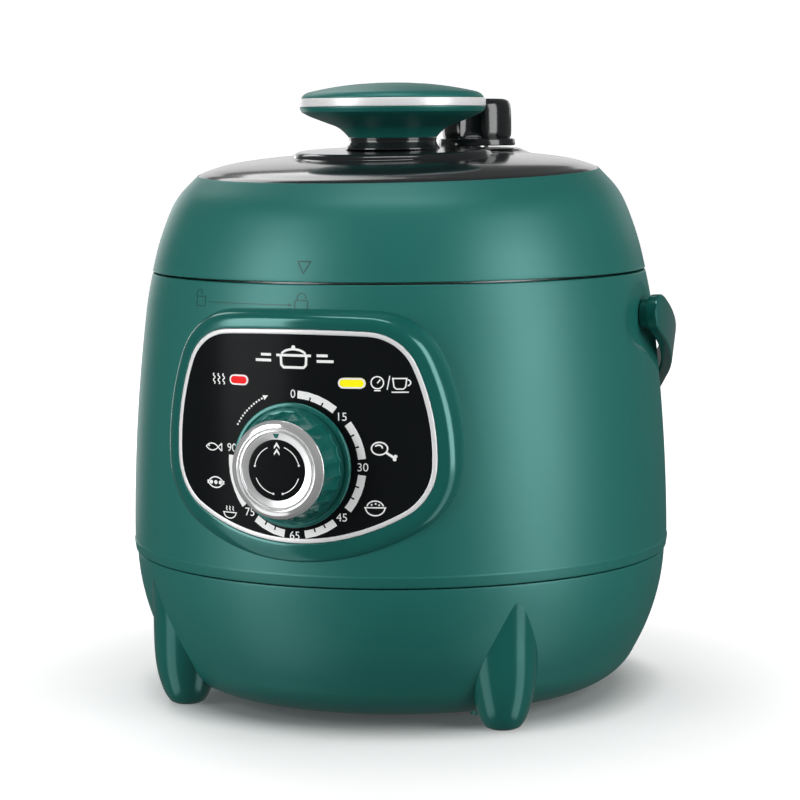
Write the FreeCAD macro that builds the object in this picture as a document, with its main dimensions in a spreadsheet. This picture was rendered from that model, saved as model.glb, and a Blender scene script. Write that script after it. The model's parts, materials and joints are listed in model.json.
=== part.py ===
import FreeCAD, Part
import math
import os
import Sketcher

# Electric pressure cooker. Millimetres, +Z up, front face towards -Y.
# The origin is on the axis of the body, on the surface that the cooker stands on.

# ---------------------------------------------------------------- driving dimensions
SIZES = [
    # body shell
    ("waist_r", 113.0, "largest radius, at the edge of the waist"),
    ("waist_z", 64.4, "height of that edge"),
    ("shell_foot_r", 112.4, "radius of the shell's bottom edge"),
    ("shell_foot_z", 60.1, "height of the shell's bottom edge"),
    ("shoulder_r", 105.9, "radius where the barrel turns in to the mouth"),
    ("shoulder_z", 163.0, "height of the shoulder"),
    ("mouth_r", 103.4, "outer radius of the shell's top edge"),
    ("mouth_z", 175.8, "height of the shell's top edge"),
    ("barrel_curve_r", 764.0, "radius of the barrel's bulge"),
    ("shoulder_curve_r", 150.0, "radius of the turn above the shoulder"),
    ("shell_wall", 3.0, "wall of the body shell"),
    ("mouth_open_r", 99.6, "clear radius of the mouth"),
    ("ledge_r", 96.0, "inner radius of the ledge that carries the collar"),
    ("ledge_z", 157.8, "top of that ledge"),
    ("rib_wall", 2.5, "thickness of ledges and flanges inside the shell"),
    # base bowl
    ("bowl_top_r", 111.7, "radius of the bowl's top edge"),
    ("bowl_gap", 0.6, "shadow gap between shell and bowl"),
    ("bowl_side_r", 99.9, "radius where the bowl's side meets its round bottom"),
    ("bowl_side_z", 18.0, "height of that point"),
    ("bowl_flat_r", 77.0, "radius of the flat underside"),
    ("bowl_flat_z", 3.5, "height of the flat underside"),
    ("bowl_side_curve_r", 92.4, "radius of the bowl's side"),
    ("bowl_round_curve_r", 24.0, "radius of the bowl's round bottom"),
    ("bowl_wall", 2.5, "wall of the bowl"),
    ("bowl_lip", 6.0, "height of the lip that plugs into the shell"),
    ("base_open_r", 70.0, "radius of the opening in the bowl's floor"),
    ("plate_wall", 2.0, "thickness of the bottom plate"),
    ("plate_land", 7.4, "overlap of the bottom plate on the bowl's floor"),
    ("base_screw_ring_r", 75.0, "radius of the ring of bottom screws"),
    ("screw_r", 1.6, "radius of the small screws"),
    ("screw_head_r", 3.4, "radius of their heads"),
    ("screw_head", 2.5, "height of their heads"),
    # legs
    ("leg_ring_r", 97.1, "radius of the ring of feet"),
    ("leg_foot_r", 7.0, "radius of a leg at the bottom"),
    ("leg_out", 110.6, "radius of the legs' outer edge"),
    ("leg_round_r", 15.0, "radius of a leg's rounded back, seen from above"),
    ("leg_top_z", 54.0, "height where a leg has sunk into the bowl"),
    ("pad_r", 5.5, "radius of a foot pad"),
    ("pad_show", 0.6, "height of a pad below its leg"),
    ("pad_deep", 1.6, "depth of a pad in its leg"),
    # cooking well
    ("pot_r", 82.0, "inner radius of the inner pot"),
    ("pot_wall", 1.2, "wall of the inner pot"),
    ("pot_floor_z", 62.0, "underside of the inner pot"),
    ("pot_floor", 2.0, "floor of the inner pot"),
    ("pot_corner_r", 12.0, "corner radius of the inner pot"),
    ("pot_lip_r", 89.5, "outer radius of the pot's lip"),
    ("well_r", 85.5, "inner radius of the outer pot"),
    ("well_wall", 1.5, "wall of the outer pot and its collar"),
    ("well_floor_z", 44.0, "underside of the outer pot"),
    ("collar_r", 101.2, "outer radius of the locking collar"),
    ("collar_top_z", 170.7, "top of the locking collar"),
    ("tooth_r", 94.0, "inner radius of the collar's teeth"),
    ("tooth_z", 166.0, "underside of the collar's teeth"),
    ("tooth", 3.5, "thickness of the teeth"),
    ("tooth_angle", 26.0, "angle that a tooth or lug spans"),
    ("lug_count", 6, "teeth on the collar, lugs on the lid"),
    ("seat_gap", 0.3, "gap between a moving piece and its seat"),
    ("fit_gap", 0.1, "gap between fixed neighbours"),
    ("shaft_gap", 0.05, "radial clearance of a shaft in its hole"),
    # heating
    ("plate_r", 72.0, "radius of the heating plate"),
    ("plate_thick", 11.0, "thickness of the heating plate"),
    ("sensor_r", 14.0, "radius of the temperature sensor"),
    ("sensor_hole_gap", 2.0, "room round the sensor in the heating plate"),
    ("sensor_height", 10.0, "height of the sensor's cap"),
    ("sensor_wall", 2.0, "wall of the sensor's cap"),
    ("holder_floor_z", 38.0, "underside of the sensor's holder"),
    ("spring_r", 9.0, "mean radius of the sensor's spring"),
    ("spring_wire_r", 0.8, "radius of the spring's wire"),
    ("terminal_x", 20.0, "half distance of the heater's terminals"),
    ("terminal_y", 37.6, "how far the terminals lie towards the front"),
    # lid
    ("seam", 0.8, "gap between body and lid"),
    ("lid_foot_r", 103.4, "radius of the lid's bottom edge"),
    ("lid_low_z", 187.5, "height of the lid's lower section"),
    ("lid_low_r", 100.75, "its radius"),
    ("lid_mid_z", 198.0, "height of the lid's middle section"),
    ("lid_mid_r", 97.2, "its radius"),
    ("lid_high_z", 208.0, "height of the lid's shoulder section"),
    ("lid_high_r", 92.8, "its radius"),
    ("crown_z", 217.4, "height of the cover's edge on the axis"),
    ("crown_r", 84.0, "radius of the cover's edge"),
    ("crown_tilt", 2.2, "degrees that the crown leans to the front"),
    ("lid_wall", 2.6, "wall of the lid's shell and cover"),
    ("lid_plate_top_z", 196.0, "top of the lid plate's dome"),
    ("lid_plate_edge_z", 177.0, "height of the dome's edge"),
    ("lid_plate_r", 92.5, "outer radius of the lid plate"),
    ("lid_plate_wall", 2.0, "wall of the lid plate"),
    ("lug_r", 98.5, "outer radius of the lugs"),
    ("lug", 3.7, "thickness of the lugs"),
    ("seal_r", 90.2, "outer radius of the sealing ring"),
    ("frame_r", 68.0, "outer radius of the lid's inner frame"),
    # knob on the lid
    ("knob_y", -6.0, "how far the knob's axis lies towards the front"),
    ("knob_r", 38.9, "radius of the knob's bright band"),
    ("knob_band_z", 243.8, "bottom of the band"),
    ("knob_band", 3.7, "height of the band"),
    ("knob_top_z", 254.0, "top of the knob"),
    ("neck_r", 18.4, "radius of the neck"),
    ("neck_top_z", 231.2, "top of the neck"),
    ("neck_foot_z", 224.6, "bottom of the neck"),
    # valves
    ("valve_x", 17.0, "place of the exhaust valve"),
    ("valve_y", 52.0, "place of the exhaust valve"),
    ("valve_cap_r", 15.0, "radius of the valve's cap"),
    ("valve_collar_r", 16.6, "radius of the collar under the cap"),
    ("valve_cap_z", 227.2, "bottom of the cap"),
    ("valve_top_z", 247.5, "top of the cap"),
    ("valve_groove_r", 7.0, "radius of the grooves down the cap"),
    ("valve_groove_out", 3.6, "how far a groove's centre lies outside the cap"),
    ("valve_groove_count", 3, "grooves round the cap"),
    ("valve_groove_turn", 42.0, "degrees that the cap is turned"),
    ("stem_r", 5.0, "radius of the valve's stem"),
    ("float_x", -18.8, "place of the float pin"),
    ("float_y", 51.7, "place of the float pin"),
    ("float_r", 3.0, "radius of the float pin"),
    ("slider_z", 195.0, "underside of the interlock slider"),
    ("slider", 2.0, "thickness of the slider"),
    ("slider_wide", 12.0, "width of the slider"),
    # control panel
    ("panel_curve_r", 134.0, "radius of the panel's face"),
    ("panel_front", 114.0, "distance of the face from the axis"),
    ("panel_top_x", 30.0, "half width of the panel's straight top"),
    ("panel_top_z", 158.8, "height of the top's ends"),
    ("panel_shoulder_x", 47.6, "half width at the shoulders"),
    ("panel_shoulder_z", 145.5, "height of the shoulders"),
    ("panel_wide_x", 54.3, "half width at the widest"),
    ("panel_wide_z", 107.5, "height of the widest point"),
    ("panel_low_x", 44.5, "half width at the lower corners"),
    ("panel_low_z", 89.3, "height of the lower corners"),
    ("panel_top_curve_r", 750.0, "radius of the panel's top edge"),
    ("panel_corner_r", 20.3, "radius of the upper corners"),
    ("panel_side_curve_r", 92.8, "radius of the sides"),
    ("panel_low_corner_r", 23.4, "radius of the lower corners"),
    ("panel_foot_curve_r", 86.6, "radius of the lower edge"),
    ("panel_rim", 1.8, "width of the bright rim"),
    ("panel_thick", 2.0, "thickness of the panel"),
    ("carrier_thick", 2.5, "thickness of the carrier behind it"),
    ("bezel_land", 2.8, "width of the bezel's front face"),
    ("bezel_foot", 7.4, "width of the bezel on the shell"),
    ("lamp_x", 23.4, "half distance of the lamps"),
    ("lamp_z", 139.3, "height of the lamps"),
    ("lamp_high", 4.2, "height of a lamp's window"),
    ("red_wide", 8.6, "width of the heating lamp"),
    ("amber_wide", 10.6, "width of the keep-warm lamp"),
    # timer
    ("dial_z", 107.5, "height of the timer's axis"),
    ("dial_flange_r", 24.2, "radius of the timer knob's flange"),
    ("dial_root_r", 21.0, "radius of the knob's grip at the flange"),
    ("dial_tip_r", 19.0, "radius of the grip at the front"),
    ("dial_ring_r", 18.85, "outer radius of the bright ring"),
    ("dial_disc_r", 11.6, "radius of the black disc"),
    ("dial_flange", 2.4, "thickness of the flange"),
    ("dial_grip", 11.6, "length of the grip"),
    ("dial_ring", 2.2, "thickness of the bright ring"),
    ("timer_shaft_r", 3.0, "radius of the timer's shaft"),
    ("timer_front", 107.0, "distance of the timer's case from the axis"),
    ("timer_wide", 44.0, "width and height of the timer's case"),
    ("timer_deep", 16.5, "depth of the timer's case"),
    # carry handle
    ("pivot_y", 6.3, "distance of the handle's pivots behind the middle"),
    ("pivot_z", 158.9, "height of the handle's pivots"),
    ("handle_curve_r", 110.8, "radius of the handle's arms, seen from above"),
    ("handle_centre", 6.5, "distance of the arms' centre from the pivots"),
    ("handle_arm", 50.0, "distance from the pivots at which the arms turn straight"),
    ("handle_reach", 128.2, "distance from the pivots to the middle of the grip"),
    ("handle_thick", 4.8, "thickness of the band"),
    ("handle_half", 7.9, "half width of the band"),
    ("handle_boss_r", 6.0, "radius of the boss inside each arm"),
    ("handle_rest", 26.0, "degrees that the handle hangs below level"),
    ("recess_x", 104.2, "distance of the flat recess behind an arm"),
    ("recess_half", 12.4, "half width of the recess"),
    ("pin_r", 3.0, "radius of a pivot pin"),
    # power inlet
    ("inlet_z", 82.0, "height of the power inlet"),
    ("inlet_flange_x", 31.0, "width of the inlet's flange"),
    ("inlet_flange_z", 24.0, "height of the inlet's flange"),
    ("inlet_open_x", 24.4, "width of the inlet's socket"),
    ("inlet_open_z", 16.6, "height of the inlet's socket"),
    ("inlet_wall", 1.4, "wall of the inlet's housing"),
    ("inlet_seat_y", 110.8, "distance of the flat that carries the inlet"),
    ("inlet_deep", 19.0, "depth of the inlet's housing"),
]

doc = FreeCAD.newDocument("PressureCooker")
sheet = doc.addObject("Spreadsheet::Sheet", "Sizes")
for row, (alias, number, meaning) in enumerate(SIZES, start=1):
    sheet.set(f"A{row}", meaning)
    sheet.set(f"B{row}", str(number))
    sheet.setAlias(f"B{row}", alias)
doc.recompute()


# ---------------------------------------------------------------- sizes and bindings
class Size:
    """A length, count or angle: its expression over the sheet, and its present value."""

    def __init__(self, text, value):
        self.text = text
        self.value = value

    def __add__(self, other):
        other = sized(other)
        return Size(f"({self.text} + {other.text})", self.value + other.value)

    def __sub__(self, other):
        other = sized(other)
        return Size(f"({self.text} - {other.text})", self.value - other.value)

    def __mul__(self, other):
        other = sized(other)
        return Size(f"({self.text} * {other.text})", self.value * other.value)

    def __truediv__(self, other):
        other = sized(other)
        return Size(f"({self.text} / {other.text})", self.value / other.value)

    def __neg__(self):
        return Size(f"(0 - {self.text})", -self.value)

    def __radd__(self, other):
        return sized(other) + self

    def __rsub__(self, other):
        return sized(other) - self

    def __rmul__(self, other):
        return sized(other) * self


def sized(number):
    return number if isinstance(number, Size) else Size(repr(float(number)), float(number))


def cosine(angle):
    return Size(f"cos({angle.text} * 1 deg)", math.cos(math.radians(angle.value)))


def sine(angle):
    return Size(f"sin({angle.text} * 1 deg)", math.sin(math.radians(angle.value)))


def root(size):
    return Size(f"sqrt({size.text})", math.sqrt(size.value))


class Sheet:
    """Each alias of the sheet as a Size."""

    def __getattr__(self, alias):
        return Size(f"Sizes.{alias}", float(sheet.get(alias)))


D = Sheet()
NODES = {}


def bind(thing, prop, size):
    """Tie a property to the sheet; a plain number is set once."""
    if isinstance(size, Size):
        thing.setExpression(prop, size.text)
    else:
        thing.setExpression(prop, repr(float(size)))


def place(thing, x=0, y=0, z=0):
    for axis, size in zip("xyz", (x, y, z)):
        if isinstance(size, Size) or size:
            bind(thing, f"Placement.Base.{axis}", size)
    return thing


def turn(thing, axis, angle):
    """Turn a thing about its own origin. The axis is fixed, the angle may be a Size."""
    thing.Placement = FreeCAD.Placement(FreeCAD.Vector(), FreeCAD.Rotation(axis, sized(angle).value))
    if isinstance(angle, Size):
        bind(thing, "Placement.Rotation.Angle", angle)
    return thing


def node(name, thing):
    """Register a finished sub-part under its node's name."""
    thing.Label = name
    NODES[name] = thing
    return thing


# ---------------------------------------------------------------- sketches and features
X_AXIS = FreeCAD.Vector(1, 0, 0)
Y_AXIS = FreeCAD.Vector(0, 1, 0)
Z_AXIS = FreeCAD.Vector(0, 0, 1)
ORIGIN, H_AXIS, V_AXIS = -1, -1, -2


def new_body(name):
    return doc.addObject("PartDesign::Body", name)


def new_sketch(body, role, offset=0, tilt=None):
    """A sketch on one of the body's origin planes, moved along its normal, leant about its x."""
    sketch = body.newObject("Sketcher::SketchObject", "Outline")
    plane = next(face for face in body.Origin.OriginFeatures if face.Role == role)
    sketch.AttachmentSupport = [(plane, "")]
    sketch.MapMode = "FlatFace"
    if tilt is not None:
        sketch.AttachmentOffset = FreeCAD.Placement(
            FreeCAD.Vector(), FreeCAD.Rotation(X_AXIS, sized(tilt).value))
        bind(sketch, "AttachmentOffset.Rotation.Angle", tilt)
    if isinstance(offset, Size) or offset:
        bind(sketch, "AttachmentOffset.Base.z", offset)
    return sketch


def constrain(sketch, kind, *where, size=None):
    """Add a constraint; one with a Size follows the sheet."""
    if size is None:
        return sketch.addConstraint(Sketcher.Constraint(kind, *where))
    number = sketch.addConstraint(Sketcher.Constraint(kind, *where, sized(size).value))
    if isinstance(size, Size):
        sketch.setExpression(f"Constraints[{number}]", size.text)
    return number


def pin_point(sketch, edge, end, x, y):
    for size, kind, axis in ((x, "DistanceX", V_AXIS), (y, "DistanceY", H_AXIS)):
        if isinstance(size, Size) or size:
            constrain(sketch, kind, ORIGIN, 1, edge, end, size=size)
        else:
            constrain(sketch, "PointOnObject", edge, end, axis)


def outline(sketch, points):
    """Draw a closed outline of lines and arcs.

    A point is (x, y), or (x, y, radius) where the side that starts there is an arc: a
    positive radius bows the side to the right of its direction, a negative one to the left.
    """
    first = sketch.GeometryCount
    spots = [FreeCAD.Vector(sized(p[0]).value, sized(p[1]).value, 0) for p in points]
    starts, ends = [], []
    for i, point in enumerate(points):
        a, b = spots[i], spots[(i + 1) % len(points)]
        if len(point) == 2:
            sketch.addGeometry(Part.LineSegment(a, b), False)
            starts.append(1)
            ends.append(2)
            continue
        bow = sized(point[2]).value
        half = (b - a).Length / 2
        sag = abs(bow) - math.sqrt(bow * bow - half * half)
        side = FreeCAD.Vector(b.y - a.y, a.x - b.x, 0).normalize()
        middle = (a + b) / 2 + side * math.copysign(sag, bow)
        ordered = (a, middle, b) if bow > 0 else (b, middle, a)
        sketch.addGeometry(Part.Arc(*ordered), False)
        starts.append(1 if bow > 0 else 2)
        ends.append(2 if bow > 0 else 1)
    for i, point in enumerate(points):
        following = (i + 1) % len(points)
        constrain(sketch, "Coincident", first + i, ends[i], first + following, starts[following])
    for i, point in enumerate(points):
        pin_point(sketch, first + i, starts[i], point[0], point[1])
        if len(point) == 3:
            bow = point[2]
            size = bow if sized(bow).value > 0 else -sized(bow)
            constrain(sketch, "Radius", first + i, size=size)
    return sketch


def circle(sketch, x, y, radius):
    edge = sketch.addGeometry(
        Part.Circle(FreeCAD.Vector(sized(x).value, sized(y).value, 0), Z_AXIS, sized(radius).value), False)
    if isinstance(x, Size) or isinstance(y, Size) or x or y:
        pin_point(sketch, edge, 3, x, y)
    else:
        constrain(sketch, "Coincident", edge, 3, ORIGIN, 1)
    constrain(sketch, "Radius", edge, size=radius)
    return sketch


def rectangle(sketch, x0, y0, x1, y1):
    return outline(sketch, [(x0, y0), (x1, y0), (x1, y1), (x0, y1)])


def sector(sketch, inner, outer, angle, start=0.0):
    """A piece of a ring that spans an angle, centred on the x axis turned by start."""
    low, high = start - angle / 2, start + angle / 2
    outline(sketch, [
        (inner * cosine(low), inner * sine(low)),
        (outer * cosine(low), outer * sine(low), outer),
        (outer * cosine(high), outer * sine(high)),
        (inner * cosine(high), inner * sine(high), -inner)])
    return sketch


def revolve_into(body, sketch, kind="Revolution"):
    turned = body.newObject(f"PartDesign::{kind}", "Turned")
    turned.Profile = sketch
    turned.ReferenceAxis = (sketch, ["V_Axis"])
    turned.Angle = 360
    sketch.Visibility = False
    return turned


def revolved(name, points, y=0):
    """A solid of revolution about the z axis, or about a line parallel to it at y."""
    body = new_body(name)
    sketch = outline(new_sketch(body, "XZ_Plane"), points)
    revolve_into(body, sketch)
    if isinstance(y, Size) or y:
        place(body, y=y)
    return body


def padded(body, sketch, length, kind="Pad", backwards=False):
    pad = body.newObject(f"PartDesign::{kind}", kind)
    pad.Profile = sketch
    bind(pad, "Length", length)
    pad.Reversed = backwards
    return pad


def ring_of(body, feature, count):
    """Repeat a feature round the z axis."""
    pattern = body.newObject("PartDesign::PolarPattern", "Ring")
    pattern.Originals = [feature]
    axis = next(line for line in body.Origin.OriginFeatures if line.Role == "Z_Axis")
    pattern.Axis = (axis, [""])
    pattern.Angle = 360
    bind(pattern, "Occurrences", count)
    body.Tip = pattern
    return pattern


def cylinder(name, radius, length, x=0, y=0, z=0, axis=None, angle=None):
    """A cylinder that starts at a point and runs along +z, or along a turned axis."""
    solid = doc.addObject("Part::Cylinder", name)
    bind(solid, "Radius", radius)
    bind(solid, "Height", length)
    if axis is not None:
        solid.Placement = FreeCAD.Placement(FreeCAD.Vector(), FreeCAD.Rotation(axis, angle))
    return place(solid, x, y, z)


def block(name, long, wide, high, x=0, y=0, z=0):
    """A box with its lowest corner at a point."""
    solid = doc.addObject("Part::Box", name)
    bind(solid, "Length", long)
    bind(solid, "Width", wide)
    bind(solid, "Height", high)
    return place(solid, x, y, z)


def fused(name, *parts):
    solid = doc.addObject("Part::MultiFuse", name)
    solid.Shapes = list(parts)
    solid.Refine = True
    return solid


def grouped(name, *parts):
    """Like pieces that share one node, each a solid of its own."""
    group = doc.addObject("Part::Compound", name)
    group.Links = list(parts)
    return group


def cut(name, base, *tools):
    solid = doc.addObject("Part::Cut", name)
    solid.Base = base
    solid.Tool = tools[0] if len(tools) == 1 else fused(name + "Tools", *tools)
    return solid


def shared(name, one, other):
    solid = doc.addObject("Part::Common", name)
    solid.Base = one
    solid.Tool = other
    return solid


def forwards(name, radius, length, x, front, z):
    """A cylinder along the y axis from its front face at -front towards the back."""
    return cylinder(name, radius, length, x, -front, z, axis=X_AXIS, angle=-90)


def dome_height(top, edge, radius, at):
    """Height of a dome of revolution at a radius: its top, its edge and its radius given."""
    rise = top - edge
    curve = (radius * radius + rise * rise) / (2 * rise)
    return top - curve + root(curve * curve - at * at)


BASE_SCREWS = (45.0, 165.0, 285.0)
LAMPS = ((-D.lamp_x, D.red_wide), (D.lamp_x, D.amber_wide))
BLADES = ((-7.0, 2.0), (0.0, -2.0), (7.0, 2.0))
FLOAT_ANGLE = math.degrees(math.atan2(D.float_y.value, D.float_x.value))


# ---------------------------------------------------------------- body shell and bowl
def barrel(name, grow=0):
    """The solid inside the shell's outer surface, grown by a gap."""
    return revolved(name, [
        (0, D.shell_foot_z - 8), (D.shell_foot_r + grow, D.shell_foot_z - 8),
        (D.shell_foot_r + grow, D.shell_foot_z), (D.waist_r + grow, D.waist_z, D.barrel_curve_r),
        (D.shoulder_r + grow, D.shoulder_z, D.shoulder_curve_r), (D.mouth_r + grow, D.mouth_z),
        (0, D.mouth_z)])


def panel_outline(sketch, grow=0):
    """The control panel's outline, grown by a margin: a straight top and a round foot."""
    shoulder_x = D.panel_shoulder_x + grow * math.cos(math.radians(22))
    shoulder_z = D.panel_shoulder_z + grow * math.sin(math.radians(22))
    low_x = D.panel_low_x + grow * math.cos(math.radians(57))
    low_z = D.panel_low_z - grow * math.sin(math.radians(57))
    wide_x = D.panel_wide_x + grow
    top_z = D.panel_top_z + grow
    top, corner, side, low_corner, foot = (
        -(bow + grow) for bow in (D.panel_top_curve_r, D.panel_corner_r, D.panel_side_curve_r,
                                  D.panel_low_corner_r, D.panel_foot_curve_r))
    return outline(sketch, [
        (-D.panel_top_x, top_z, top), (D.panel_top_x, top_z, corner),
        (shoulder_x, shoulder_z, side), (wide_x, D.panel_wide_z, low_corner),
        (low_x, low_z, foot), (-low_x, low_z, low_corner),
        (-wide_x, D.panel_wide_z, side), (-shoulder_x, shoulder_z, corner)])


def panel_prism(name, grow, back=85.0, deep=40.0, hole=None):
    """The panel's outline run along y, with an optional smaller outline as its hole."""
    body = new_body(name)
    sketch = panel_outline(new_sketch(body, "XZ_Plane", back), grow)
    if hole is not None:
        panel_outline(sketch, hole)
    padded(body, sketch, deep)
    return body


def panel_cylinder(name, below=0):
    """The upright cylinder that the panel's face lies on, or one below that face."""
    return cylinder(name, D.panel_curve_r - below, D.mouth_z, y=D.panel_curve_r - D.panel_front)


def stadium_prism(name, half, start, end, run):
    """A slot shape round an arm of the handle at rest, seen along x, between two distances."""
    body = new_body(name)
    sketch = new_sketch(body, "YZ_Plane", start)
    outline(sketch, [(0, -half), (run, -half), (run, half), (0, half, half * 1.0001)])
    padded(body, sketch, end - start)
    turn(body, X_AXIS, -D.handle_rest)
    return place(body, y=D.pivot_y, z=D.pivot_z)


def mirrored(name, thing):
    """The same thing on the other side, across the YZ plane."""
    other = doc.addObject("Part::Mirroring", name)
    other.Source = thing
    other.Normal = X_AXIS
    return other


def body_shell():
    inner_r = D.shell_foot_r - D.shell_wall
    shell = revolved("ShellWall", [
        (inner_r, D.shell_foot_z), (D.shell_foot_r, D.shell_foot_z),
        (D.waist_r, D.waist_z, D.barrel_curve_r), (D.shoulder_r, D.shoulder_z, D.shoulder_curve_r),
        (D.mouth_r, D.mouth_z), (D.mouth_open_r, D.mouth_z),
        (D.mouth_open_r, D.collar_top_z + D.seat_gap),
        (D.shoulder_r - D.shell_wall - 1.2, D.collar_top_z + D.seat_gap),
        (D.shoulder_r - D.shell_wall, D.shoulder_z),
        (D.shoulder_r - D.shell_wall + 0.4, D.ledge_z), (D.ledge_r, D.ledge_z),
        (D.ledge_r, D.ledge_z - D.rib_wall),
        (D.shoulder_r - D.shell_wall + 0.5, D.ledge_z - D.rib_wall, -D.barrel_curve_r),
        (D.waist_r - D.shell_wall, D.waist_z)])
    backing = stadium_prism("PivotBacking", D.recess_half + 2.2, D.collar_r + 0.2, D.waist_r, 46.0)
    recess = stadium_prism("Recess", D.recess_half, D.recess_x, D.waist_r + 5, 46.0)
    backings = shared("PivotBackings", fused("BackingPair", backing, mirrored("BackingTwo", backing)),
                      barrel("BackingLimit", -0.01))
    opening = panel_prism("PanelOpening", D.bezel_land - 1.0)
    pin_hole = cylinder("PinHole", D.pin_r + D.fit_gap / 2, 20, x=D.collar_r, y=D.pivot_y, z=D.pivot_z,
                        axis=Y_AXIS, angle=90)
    flat = block("InletFlat", D.inlet_flange_x + 1, 10, D.inlet_flange_z + 1,
                 x=-(D.inlet_flange_x + 1) / 2, y=D.inlet_seat_y, z=D.inlet_z - (D.inlet_flange_z + 1) / 2)
    hole_x = D.inlet_open_x + 2 * (D.inlet_wall + D.fit_gap)
    hole_z = D.inlet_open_z + 2 * (D.inlet_wall + D.fit_gap)
    hole = block("InletHole", hole_x, 30, hole_z, x=-hole_x / 2, y=100, z=D.inlet_z - hole_z / 2)
    return cut("BodyShell", fused("ShellSolid", shell, backings), recess, mirrored("RecessTwo", recess),
               opening, pin_hole, mirrored("PinHoleTwo", pin_hole), flat, hole)


def screw_spot(angle):
    """The place of a bottom screw at an angle from the front."""
    return {"x": D.base_screw_ring_r * sine(sized(angle)), "y": -D.base_screw_ring_r * cosine(sized(angle))}


def base_bowl():
    top_z = D.shell_foot_z - D.bowl_gap
    lip_r = D.shell_foot_r - D.shell_wall - D.fit_gap
    bowl = revolved("BowlWall", [
        (D.base_open_r, D.bowl_flat_z), (D.bowl_flat_r, D.bowl_flat_z, D.bowl_round_curve_r),
        (D.bowl_side_r, D.bowl_side_z, D.bowl_side_curve_r), (D.bowl_top_r, top_z),
        (lip_r, top_z), (lip_r, top_z + D.bowl_lip), (lip_r - D.bowl_wall, top_z + D.bowl_lip),
        (lip_r - D.bowl_wall, top_z, -(D.bowl_side_curve_r - D.bowl_wall)),
        (D.bowl_side_r - D.bowl_wall, D.bowl_side_z + 1, -(D.bowl_round_curve_r - D.bowl_wall)),
        (D.bowl_flat_r + 1, D.bowl_flat_z + D.bowl_wall), (D.base_open_r, D.bowl_flat_z + D.bowl_wall)])
    holes = [cylinder("BowlScrewHole", D.screw_r + D.fit_gap, 12, **screw_spot(a)) for a in BASE_SCREWS]
    return cut("BaseBowl", bowl, *holes)


def bottom_plate():
    land_z = D.bowl_flat_z + D.bowl_wall + D.fit_gap
    disc_r = D.base_open_r - D.fit_gap * 2
    plate = revolved("PlateDisc", [
        (0, D.bowl_flat_z), (disc_r, D.bowl_flat_z), (disc_r, land_z),
        (D.base_open_r + D.plate_land, land_z), (D.base_open_r + D.plate_land, land_z + D.plate_wall),
        (0, land_z + D.plate_wall)])
    bosses = [cylinder("PlateBoss", D.screw_r + 2.2, 8, z=land_z + D.plate_wall - 0.5, **screw_spot(a))
              for a in BASE_SCREWS]
    bores = [cylinder("PlateBore", D.screw_r, 10, z=land_z - 1, **screw_spot(a)) for a in BASE_SCREWS]
    slots = new_body("VentSlots")
    sketch = new_sketch(slots, "XY_Plane", D.bowl_flat_z - 1)
    for i in range(7):
        y = (i - 3) * 9.0
        half = 38.0 - abs(i - 3) * 6.0
        rectangle(sketch, -half, y - 1.6, half, y + 1.6)
    padded(slots, sketch, 8)
    return cut("BottomPlate", fused("PlateSolid", plate, *bosses), slots, *bores)


def bottom_screws():
    screws = []
    for angle in BASE_SCREWS:
        spot = screw_spot(angle)
        head = cylinder("ScrewHead", D.screw_head_r, D.screw_head, z=D.bowl_flat_z - D.screw_head, **spot)
        shank = cylinder("ScrewShank", D.screw_r - 0.02, 9, z=D.bowl_flat_z - 0.5, **spot)
        screws.append(fused("Screw", head, shank))
    return grouped("BottomScrews", *screws)


def leg(name, angle):
    """A leg: a round column that widens upwards and sinks into the bowl's side."""
    body = new_body(name + "Column")
    foot_z = D.pad_show
    stations = [
        (foot_z, D.leg_ring_r, D.leg_foot_r), (5.0, D.leg_ring_r + 0.1, D.leg_foot_r + 2.3),
        (12.0, D.leg_ring_r + 0.2, D.leg_foot_r + 4.7),
        (25.0, D.leg_out - D.leg_round_r + 0.7, D.leg_round_r - 0.8),
        (38.0, D.leg_out - D.leg_round_r + 0.2, D.leg_round_r - 0.2),
        (D.leg_top_z + 3, D.leg_out - D.leg_round_r + 0.8, D.leg_round_r)]
    sketches = [circle(new_sketch(body, "XY_Plane", z), x, 0, r) for z, x, r in stations]
    loft = body.newObject("PartDesign::AdditiveLoft", "Column")
    loft.Profile = sketches[0]
    loft.Sections = sketches[1:]
    turn(body, Z_AXIS, angle)
    gap = D.fit_gap
    core = revolved(name + "Core", [
        (0, -1), (D.bowl_flat_r, -1), (D.bowl_flat_r, D.bowl_flat_z - gap, D.bowl_round_curve_r),
        (D.bowl_side_r + gap, D.bowl_side_z, D.bowl_side_curve_r),
        (D.bowl_top_r + gap, D.shell_foot_z - D.bowl_gap), (0, D.shell_foot_z - D.bowl_gap)])
    radians = math.radians(angle)
    spot = {"x": D.leg_ring_r * math.cos(radians), "y": D.leg_ring_r * math.sin(radians)}
    socket = cylinder(name + "Socket", D.pad_r + D.fit_gap, D.pad_deep + D.fit_gap, z=foot_z, **spot)
    pad = cylinder(name + "Pad", D.pad_r, D.pad_show + D.pad_deep, **spot)
    return cut(name, body, core, socket), pad


node("body_shell", body_shell())
node("base_bowl", base_bowl())
node("bottom_plate", bottom_plate())
node("bottom_screws", bottom_screws())
for side, angle in (("front_right", -45), ("rear_right", 45), ("rear_left", 135), ("front_left", -135)):
    column, pad = leg("Leg" + side.replace("_", "").title(), angle)
    node(f"leg_{side}", column)
    node(f"foot_pad_{side}", pad)


# ---------------------------------------------------------------- cooking well
def ring_sectors(body, z, inner, outer, thick, backwards=False):
    """Teeth or lugs: equal pieces of a ring at even angles."""
    sketch = sector(new_sketch(body, "XY_Plane", z), inner, outer, D.tooth_angle)
    return ring_of(body, padded(body, sketch, thick, backwards=backwards), D.lug_count)


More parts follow.
